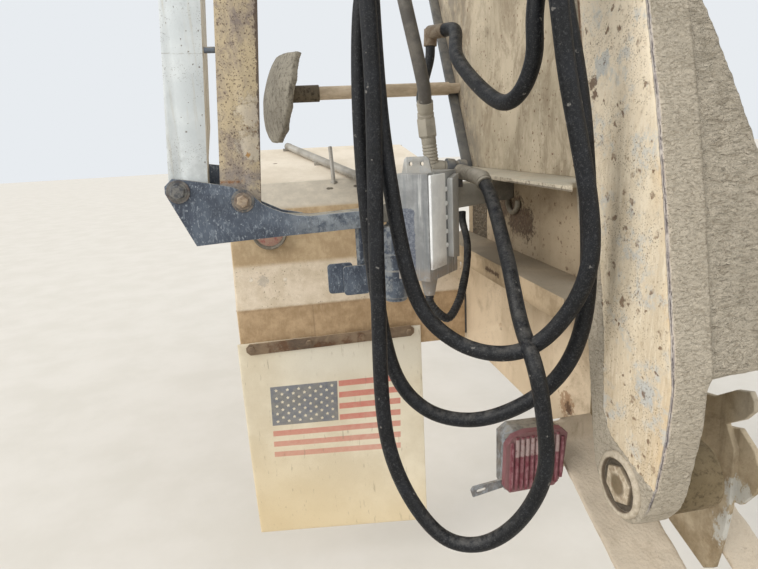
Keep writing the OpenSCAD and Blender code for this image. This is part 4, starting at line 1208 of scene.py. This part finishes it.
# Bolts of the posts: two washers under each head, the inner bolt rusty
def post_bolts():
    p = Paint("bolt_steel", metallic=0.15, specular=0.45)
    p.colour = p.mix(p.cloud(0.4, 0.6, 60, 5, 0.7), (74, 75, 78), (118, 116, 112))
    inner = p.step(p.x, -0.78, -0.76)
    rusty = p.mix(p.cloud(0.4, 0.6, 90, 5, 0.7), (132, 112, 92), (168, 150, 128))
    head = p.step(p.y, -0.0075, -0.0085)
    p.cover(p.both(inner, head), rusty)
    p.tint(p.both(inner, p.cloud(0.45, 0.6, 110, 5, 0.7)), 0.6, (140, 126, 112))
    ring = p.both(p.step(p.y, -0.0045, -0.0035), p.cloud(0.4, 0.55, 70, 4, 0.7))
    p.tint(p.both(p.inverse(inner), ring), 0.7, (96, 74, 60))
    p.bump(p.noise(300, 4, 0.7), 0.5)
    material = p.done(0.65)
    s = Shape()
    for x, z, foot, spacer, head_r in ((-847, 375, 6, 14, 18), (-703, 344, 16, 20, 15)):
        base = (x, 0, z)
        s.lathe(base, (0, -1, 0), [(0, 26), (0.8, 27), (3.4, 27), (4, 26.2)], 48)
        s.lathe(base, (0, -1, 0), [(4, 20.4), (4.6, 21), (7.4, 21), (8, 20.4)], 40)
        s.lathe(base, (0, -1, 0), [(8, head_r), (17.6, head_r), (20, head_r * 0.84)], 6, 0.35)
        s.lathe(base, (0, -1, 0), [(17, head_r * 0.62), (20.2, head_r * 0.58)], 20)
        s.lathe(base, (0, 1, 0), [(0, 12), (74, 12), (90, 11.6)], 24)
        s.lathe(base, (0, 1, 0), [(12 + foot, spacer), (62, spacer)], 32)
        s.lathe(base, (0, 1, 0), [(74, 20), (92, 20), (94, 17)], 6, 0.2)
    s.make("post_bolt_set", material, "bare_rusty_steel", replaces="post_bolts", sharp=30)


post_bolts()


# Lamps
MARKER_AT, MARKER_AXIS = (-654, 488, 191), unit((0, -33, 7.6))
LENS_RIBS, LENS_LEFT, LENS_WIDTH = 11, -170, 132


def lamps():
    """Ribbed tail lens, its upright ribs ending in a plain border, and the round marker lamp."""
    lens = Shape()
    outline = [(-180, -308), (-176, -205), (-160, -184), (-132, -176), (-44, -179), (-30, -192),
               (-36, -250), (-48, -306), (-60, -320), (-168, -322)]
    lens.prism(outline, (0, -332, 0), (1, 0, 0), (0, 0, 1), (0, 18, 0))
    for k in range(LENS_RIBS):
        x = LENS_LEFT + LENS_WIDTH * (k + 0.5) / LENS_RIBS
        high = -186 if -158 < x < -46 else -197
        low = -316 + max(0, x + 62) * 0.9
        path = [(x + 4 * (t - 0.5), -332.2, low + (high - low) * t) for t in np.linspace(0, 1, 8)]
        lens.sweep(path, [4.4] + [5.8] * 6 + [4.4], 12)
    lens.make("ribbed_tail_lens", RED_LENS, "red_lens", replaces="tail_lamp_lens", sharp=40)
    rim = [(0, 56), (24, 57), (30, 56.5), (33.4, 54), (33.4, 50.5), (29, 49.5)]
    rim = Shape().lathe(MARKER_AT, MARKER_AXIS, rim, 64)
    rim.make("marker_rim", FITTING, "lamp_grey", replaces="marker_lamp")
    dome = [(0, 49)] + [(27 + 5.5 * math.sin(a), 49 * math.cos(a)) for a in np.radians(range(0, 85, 12))]
    dome = Shape().lathe(MARKER_AT, MARKER_AXIS, dome, 64)
    dome.make("marker_glass", MARKER_LENS, "red_lens", sharp=60)


lamps()


# Water fittings: tee, wrapped coupling stack, ridged collar and clamp
def ridges(length, low, high, count):
    """A profile with rounded ridges."""
    out = []
    for k in range(count):
        a = length * k / count
        out += [(a, low), (a + 0.25 * length / count, high), (a + 0.7 * length / count, high),
                (a + 0.95 * length / count, low)]
    return out


def fittings():
    s = Shape()
    run = unit(np.array([-175.0, -80, 388]) - np.array([-262.0, -80, 400]))
    valve = [(0, 16.5), (1.5, 18), (30, 18), (31, 15.5), (33, 15.5), (34, 18), (86, 18), (87.5, 16)]
    s.lathe((-262, -80, 400), run, valve)
    up = unit((-12, 0, 122))
    stack = [(0, 16)] + [(a + 2, r) for a, r in ridges(52, 15.6, 17.4, 7)]
    stack += [(56, 17), (70, 17), (71, 19), (76, 19), (77, 17), (121, 17), (122, 15)]
    s.lathe((-258, -80, 398), up, stack)
    s.lathe((-266, -80, 470), unit((-4, 0, 42)), [(0, 21.6), (1.6, 23), (40, 23), (42, 21.6)], 6, 0.2)
    spigot = [(0, 17), (6, 19), (18, 19), (19, 17), (25, 17), (26, 18.4), (46.8, 18)]
    s.lathe((-269, -78, 506), unit((-7, -22, 41)), spigot)
    branch = [(0, 13), (20, 14), (32, 14), (33, 12.6), (36, 12.6), (37, 14), (53.7, 13.6)]
    s.lathe((-269, -84, 508), unit((1, 39, 37)), branch, 24)
    fall = unit(np.array([-186.0, -215, 378]) - np.array([-200.0, -80, 390]))
    outlet = [(0, 15)] + [(a + 24, r) for a, r in ridges(64, 14.4, 16.8, 8)]
    s.lathe((-200, -80, 390), fall, outlet + [(90, 15), (96, 17), (134, 17), (136, 15)])
    collar = [(0, 15), (6, 18), (22, 18), (23, 16.6), (25, 16.6), (30.4, 17.4)]
    s.lathe((-186.5, -208, 382), unit((0.5, -26, -16)), collar)
    s.block((-217, 4, 300), (-175, 12, 400))
    s.block((-215, -60, 352), (-178, 5, 360))
    s.make("water_fittings", FITTING, "pipe_metal", replaces="water_tee")
    c = Shape()
    bands = [(0, 20), (1, 24), (20, 24), (21, 20.5), (30, 20.5), (31, 24), (48, 24), (49, 20)]
    c.lathe((-226, -80, 395), run, bands, 36)
    c.block((-203, -92, 350), (-187, -50, 371))
    c.make("tee_clamp", DARK_STEEL, "bare_rusty_steel", bevel=0.8)


fittings()


# Hook plates with rounded corners, the pot behind the hoses, and the screws of the box
HOOK_CORNER = 9
BOX_CORNER, BOX_TURN = (-314, -240), math.radians(45)
SCREW_IN, SCREW_FOOT, SCREW_GAP, SCREWS = 75, 233, 31, 5


def hooks():
    s = Shape()
    r = HOOK_CORNER
    for x0, z0, x1, z1, y0, y1 in ((-513, 90, -448, 168, 18, 25), (-474, 84, -408, 160, 10, 18)):
        outline = []
        for x, z, first in ((x1 - r, z1 - r, 0), (x0 + r, z1 - r, 90), (x0 + r, z0 + r, 180),
                            (x1 - r, z0 + r, 270)):
            turns = np.radians(range(first, first + 91, 15))
            outline += [(x + r * math.cos(a), z + r * math.sin(a)) for a in turns]
        s.prism(outline, (0, y0, 0), (1, 0, 0), (0, 0, 1), (0, y1 - y0, 0))
    s.sweep([(-422, 34, 150), (-422, 36, 200), (-422, 36, 257.6)], 12, 20)
    s.block((-440, 24, 100), (-408, 50, 150))
    pot = [(0, 27), (3, 30), (10, 30), (11, 36), (14, 38), (83, 38), (86, 35), (87, 33), (120, 33),
           (121, 34.5), (128, 34.5), (129, 33), (190, 33), (200, 29), (204, 17), (215, 16)]
    s.lathe((-334, 37, 52), (0, 0, 1), pot, 48)
    s.make("hook_set", PLATE_STEEL, "blue_grey_steel", replaces="hook_plates", bevel=1.4)


def box_screws():
    s = Shape()
    out = np.array([math.sin(BOX_TURN), -math.cos(BOX_TURN), 0])
    x = BOX_CORNER[0] + SCREW_IN * math.cos(BOX_TURN)
    y = BOX_CORNER[1] + SCREW_IN * math.sin(BOX_TURN)
    for k in range(SCREWS):
        at = np.array([x, y, SCREW_FOOT + SCREW_GAP * k])
        s.lathe(at - 0.5 * out, out, [(0, 6), (1.4, 6), (2, 4.4), (5, 4.2), (5.4, 3.4)], 6, 0.2)
    s.make("box_screws", RUSTY_STEEL, "bare_rusty_steel", sharp=30)


hooks()
box_screws()


# Pieces crusted with mortar
PIN_Y, PIN_Z = -610, -135
ARM_REAR = [(-437, 1200), (-603, 642), (-640, 503), (-671, 366), (-702, 201), (-709, 166), (-720, 92),
            (-716, 9), (-698, -107), (-686, -144), (-660, -181)]
STRIP_EDGE = [(-330, 1000), (-412, 681), (-432, 585), (-452, 501), (-484, 365), (-504, 280), (-523, 195),
              (-536, 110), (-542, 20), (-545, -20), (-570, -62), (-610, -72)]


def past_line(points, line):
    """Distance in the (y, z) plane to a line of points, above 0 on the front side of it."""
    best = np.full(len(points), 1e9)
    sign = np.ones(len(points))
    yz = points[:, 1:3]
    for a, b in zip(line, line[1:]):
        a, b = np.array(a, float), np.array(b, float)
        run = b - a
        t = np.clip(((yz - a) @ run) / (run @ run), 0, 1)
        gap = yz - (a + t[:, None] * run)
        far = np.linalg.norm(gap, axis=1)
        side = run[0] * gap[:, 1] - run[1] * gap[:, 0]
        closer = far < best - 1e-9
        best[closer] = far[closer]
        sign[closer] = np.sign(side[closer])
    return best * sign


def arm_fields(points):
    return {"past_rear": past_line(points, ARM_REAR), "past_strip": past_line(points, STRIP_EDGE)}


def arm_relief(points, normals, heights):
    """Smooth paint on the outer plate, a mortar strip along its front, rough mortar on the rest."""
    front = past_line(points, STRIP_EDGE)
    outer = np.clip((-normals[:, 0] - 0.5) / 0.3, 0, 1) * (points[:, 0] < -70)
    strip = np.clip(front / 5, 0, 1)
    gusset = np.clip((points[:, 0] + 18) / 5, 0, 1)
    plain = outer * (1 - strip)
    skin = heights * (0.5 + 0.7 * gusset) - 3.0 * gusset * (1 - outer)
    return plain * heights * 0.08 + (1 - plain) * skin + outer * strip * 2.5


def arm_material():
    """Cream plate with rust pits and scuffs, mortar on the strip, the rear band and the gusset."""
    p = Paint("arm_skin", specular=0.22)
    rear, strip = p.field("past_rear"), p.field("past_strip")
    outer = p.both(p.step(p.nx, -0.45, -0.75), p.step(p.x, -0.070, -0.076))
    rough_edge = p.jitter(12.0, 60, 6, 0.72)
    before = p.step(p.plus(strip, rough_edge), 1.0, -1.0)
    plate = p.both(outer, before)
    p.colour = p.mix(p.cloud(0.36, 0.64, 7, 7, 0.7, stretch=0.5), (202, 186, 160), (224, 210, 185))
    # Painted shade darkens the lower part of the plate, and painted light brightens its upper part against
    # the shadow that the hoses cast.
    p.tint(p.step(p.z, 0.32, -0.05), 0.45, (186, 166, 136))
    p.tint(p.step(p.z, 0.38, 0.60), 0.6, (244, 230, 206))
    brushed = p.cloud(0.46, 0.66, 170, 6, 0.7, stretch=0.14)
    p.tint(brushed, 0.5, (232, 221, 201))
    dirt = p.cloud(0.5, 0.66, 60, 9, 0.8, stretch=0.6, shift=11)
    p.tint(dirt, 0.5, (172, 152, 124))
    ochre = p.both(p.step(rear, 48.0, 4.0), p.cloud(0.42, 0.6, 16, 7, 0.72, stretch=0.4, shift=2))
    p.tint(ochre, 0.35, (208, 176, 130))
    blue = p.both(p.cloud(0.5, 0.6, 13, 4, 0.6, shift=5), p.cloud(0.44, 0.58, 70, 8, 0.76, shift=8))
    p.tint(blue, 0.6, (182, 187, 188))
    blue = p.either(p.blot((-82, -655, 58), 26, 70), p.blot((-82, -490, 570), 26, 70, stretch=0.6),
                    p.blot((-82, -636, 557), 18, 90))
    p.tint(blue, 0.6, (176, 184, 188))
    here = p.cloud(0.42, 0.58, 10, 5, 0.65, shift=7)
    tiny = p.both(p.spots(300, 0.46, 0.7), p.cloud(0.40, 0.54, 14, 5, 0.65, shift=1))
    small = p.both(p.spots(140, 0.5, 0.6, shift=5), here)
    large = p.both(p.spots(44, 0.5, 0.5, shift=3), p.cloud(0.38, 0.5, 9, 5, 0.65, shift=3))
    halo = p.both(p.cloud(0.56, 0.68, 55, 7, 0.75, shift=4), here)
    p.tint(halo, 0.4, (176, 142, 100))
    p.tint(tiny, 0.75, (128, 104, 78))
    p.tint(small, 0.75, (120, 92, 66))
    p.tint(large, 0.8, (108, 80, 58))
    blotch = p.either(p.blot((-82, -467, 544), 15, 130), p.blot((-82, -474, 524), 10, 150, shift=2))
    p.tint(blotch, 0.85, (98, 72, 56))
    skin = p.mix(p.step(p.z, 0.36, 0.72), (182, 171, 153), (156, 147, 131))
    skin = p.mix(p.cloud(0.36, 0.66, 6, 6, 0.65, shift=1), skin, (188, 177, 159))
    skin = p.over(skin, p.cloud(0.56, 0.72, 26, 8, 0.74, shift=13), 0.4, (148, 136, 118))
    gusset = p.step(p.x, -0.019, -0.012)
    ripple = p.noise(88, 4, 0.6, stretch=(0.6, 0.7, 1.5), shift=4, warp=1.3)
    fine = p.noise(150, 4, 0.6, stretch=(0.8, 0.8, 1.4), shift=8, warp=1.3)
    hollow = p.blend(gusset, fine, ripple)
    skin = p.over(skin, p.step(hollow, 0.50, 0.36), 0.6, (136, 125, 108))
    skin = p.over(skin, p.step(hollow, 0.54, 0.68), 0.4, (204, 194, 177))
    grain = p.noise(620, 3, 0.6)
    skin = p.over(skin, p.step(grain, 0.56, 0.72), 0.4, (208, 198, 181))
    wander = p.plus(p.x, p.jitter(0.006, 30, 5, 0.65))
    groove = p.both(p.span(wander, -18.5, -16, 2.5), p.step(p.ny, -0.2, -0.5))
    skin = p.over(skin, groove, 0.4, (118, 106, 90))
    p.colour = p.mix(plate, skin, p.colour)
    off = p.plus(rear, p.jitter(3.0, 50, 5, 0.7, shift=2))
    line = p.step(p.math('ABSOLUTE', p.minus(off, 3.8)), 3.6, 2.0)
    line = p.both(outer, line, p.step(p.z, -0.16, -0.12))
    tone = p.mix(p.cloud(0.4, 0.6, 120, 6, 0.75, stretch=0.5), (128, 122, 124), (178, 170, 164))
    p.tint(line, 0.9, tone)
    crack = p.step(p.math('ABSOLUTE', p.minus(off, 4.2)), 1.0, 0.3)
    crack = p.both(outer, crack, line, p.cloud(0.4, 0.5, 70, 5, 0.7, shift=6))
    p.tint(crack, 0.8, (70, 64, 64))
    p.cover(p.both(outer, p.step(rear, 1.6, 0.6)), skin)
    trace = p.both(outer, p.step(p.math('ABSOLUTE', strip), 4.0, 1.5))
    trace = p.both(trace, p.step(p.z, 0.2, 0.42), p.cloud(0.4, 0.55, 30, 4, shift=6))
    p.tint(trace, 0.8, (128, 96, 72))
    # Painted shade on the plate inside the boss ring, round the pin head.
    p.tint(p.both(p.ball((-82, PIN_Y, PIN_Z), 44, 4), outer), 0.85, (76, 66, 54))
    bare = p.inverse(plate)
    p.bump(p.both(bare, gusset, ripple), 9.0)
    p.bump(p.both(bare, fine), 7.0)
    p.bump(grain, 0.6)
    p.bump(p.both(plate, p.either(tiny, small, large)), -1.0)
    p.bump(line, 1.2)
    return p.done(p.blend(plate, 0.95, 0.72))


def pin_material():
    p = Paint("pin_head", specular=0.3)
    p.colour = p.mix(p.cloud(0.38, 0.62, 60, 6, 0.7), (176, 160, 136), (204, 190, 168))
    # The hollow in the head is not cut: it is painted dark, as dirt with painted shade.
    hollow = p.ball((-92, PIN_Y, PIN_Z), 14, 9)
    p.tint(hollow, 0.9, (98, 84, 60))
    grime_and_shade = p.both(p.cloud(0.4, 0.56, 50, 6, 0.72, shift=4), p.step(p.x, -0.08, -0.084))
    p.tint(grime_and_shade, 0.5, (128, 112, 90))
    p.tint(p.spots(110, 0.5, 0.5), 0.5, (132, 108, 84))
    side = p.both(p.step(p.nx, -0.8, -0.4), p.step(p.x, -0.07, -0.078))
    p.tint(side, 0.6, (110, 96, 78))
    p.bump(p.inverse(hollow), 3.0)
    p.bump(p.noise(140, 6, 0.75), 1.6)
    return p.done(0.9)


def ring_material():
    p = Paint("ring_crust", specular=0.2)
    fine = p.noise(90, 7, 0.72)
    p.colour = p.mix(p.step(fine, 0.36, 0.62), (168, 156, 137), (194, 182, 163))
    # Painted shade inside the ring, on its inner wall and round the pin.
    p.tint(p.ball((-86, PIN_Y, PIN_Z), 46, 3.5), 0.8, (92, 76, 60))
    p.bump(fine, 1.6)
    p.bump(p.noise(420, 3, 0.6), 0.6)
    return p.done(0.95)


RING_SIDES = 96
RING_WALL = [(-80, 57), (-86, 57.5), (-90, 56), (-91.5, 53), (-91.5, 49), (-90, 46.5), (-84, 46), (-80, 46)]


def boss_ring():
    """The ring round the pin, lumpy with mortar."""
    points, faces = [], []
    n = len(RING_WALL)
    for k in range(RING_SIDES):
        a = 2 * math.pi * k / RING_SIDES
        c, s = math.cos(a), math.sin(a)
        for x, r in RING_WALL:
            lump = noise.fractal(Vector((x * 0.05, c * 2.2, s * 2.2)), 0.9, 2.1, 3)
            bulge = 1.3 * lump if x < -83 else 0.0
            wide = r + bulge * (1 if r > 50 else -0.6)
            points.append((x - 0.9 * max(0.0, bulge), PIN_Y + c * wide, PIN_Z + s * wide))
        j = (k + 1) % RING_SIDES
        faces += [(k * n + i, k * n + (i + 1) % n, j * n + (i + 1) % n, j * n + i) for i in range(n)]
    ring = Shape().add(points, faces)
    ring.make("boss_ring", ring_material(), "mortar_crusted_steel", body="axle_arm",
              replaces="arm_boss_ring", sharp=50)


def boss_pin():
    """The pin with its washer-faced head and nut."""
    pin = Shape()
    pin.lathe((-81, PIN_Y, PIN_Z), (-1, 0, 0), [(0, 37), (7.6, 37), (9.4, 34.4)], 6, 0.42)
    pin.lathe((-82, PIN_Y, PIN_Z), (1, 0, 0), [(0, 25), (170, 25), (172, 23)], 40)
    pin.lathe((76, PIN_Y, PIN_Z), (1, 0, 0), [(0, 40), (11, 40), (14, 36)], 6, 0.2)
    pin.make("boss_pin", pin_material(), "bare_rusty_steel", body="axle_arm", replaces="arm_pin",
             bevel=1.5, sharp=40)


def crusts():
    crusted("crusted_paddle", ["paddle"], PADDLE_MORTAR, 3, 0.7, 6)
    crusted("crusted_bars", ["tail_bars"], BAR_SKIN, 6, 1.8, 6)
    arm = ["arm_side_plates", "arm_rear_plate", "arm_front_plate", "arm_gusset"]
    crusted("crusted_arm", arm, arm_material(), 5, 2.0, 10, body="axle_arm",
            shape=arm_relief, fields=arm_fields)


crusts()
boss_ring()
boss_pin()


# Light and floor
SUNS = [("soft_sky", 2.0, (0.9, 0.25, -0.65), 45), ("open_sky", 0.95, (-0.25, 0.9, -0.35), 70)]
FLOOR_Z, FLOOR_HALF = -1.08, 40


def add_sky():
    """Soft light from an even sky, which is paler where it is seen directly."""
    world = bpy.data.worlds.new("overcast")
    bpy.context.scene.world = world
    world.use_nodes = True
    tree = world.node_tree
    back = tree.nodes["Background"]
    back.inputs["Color"].default_value = (0.93, 0.97, 1.0, 1)
    back.inputs["Strength"].default_value = 0.9
    seen = tree.nodes.new("ShaderNodeBackground")
    seen.inputs["Color"].default_value = rgb(232, 236, 240)
    seen.inputs["Strength"].default_value = 1.0
    path = tree.nodes.new("ShaderNodeLightPath")
    mix = tree.nodes.new("ShaderNodeMixShader")
    tree.links.new(path.outputs["Is Camera Ray"], mix.inputs[0])
    tree.links.new(back.outputs[0], mix.inputs[1])
    tree.links.new(seen.outputs[0], mix.inputs[2])
    tree.links.new(mix.outputs[0], tree.nodes["World Output"].inputs["Surface"])


def add_suns():
    for name, power, heading, spread in SUNS:
        lamp = bpy.data.lights.new(name, 'SUN')
        lamp.energy = power
        lamp.angle = math.radians(spread)
        lamp.color = (1.0, 0.975, 0.94)
        placed(name, lamp).rotation_euler = Vector(heading).to_track_quat('-Z', 'Y').to_euler()


def add_floor():
    mesh = bpy.data.meshes.new("floor")
    corners = [(-FLOOR_HALF, -FLOOR_HALF), (FLOOR_HALF, -FLOOR_HALF), (FLOOR_HALF, FLOOR_HALF),
               (-FLOOR_HALF, FLOOR_HALF)]
    mesh.from_pydata([(x, y, FLOOR_Z) for x, y in corners], [], [(0, 1, 2, 3)])
    p = Paint("floor_paint", specular=0.2)
    p.colour = p.mix(p.cloud(0.3, 0.7, 3, 6, 0.6), (206, 200, 190), (212, 206, 197))
    mesh.materials.append(p.done(0.95))
    placed("floor", mesh)


bpy.context.scene.view_settings.view_transform = 'Standard'
add_sky()
add_suns()
add_floor()
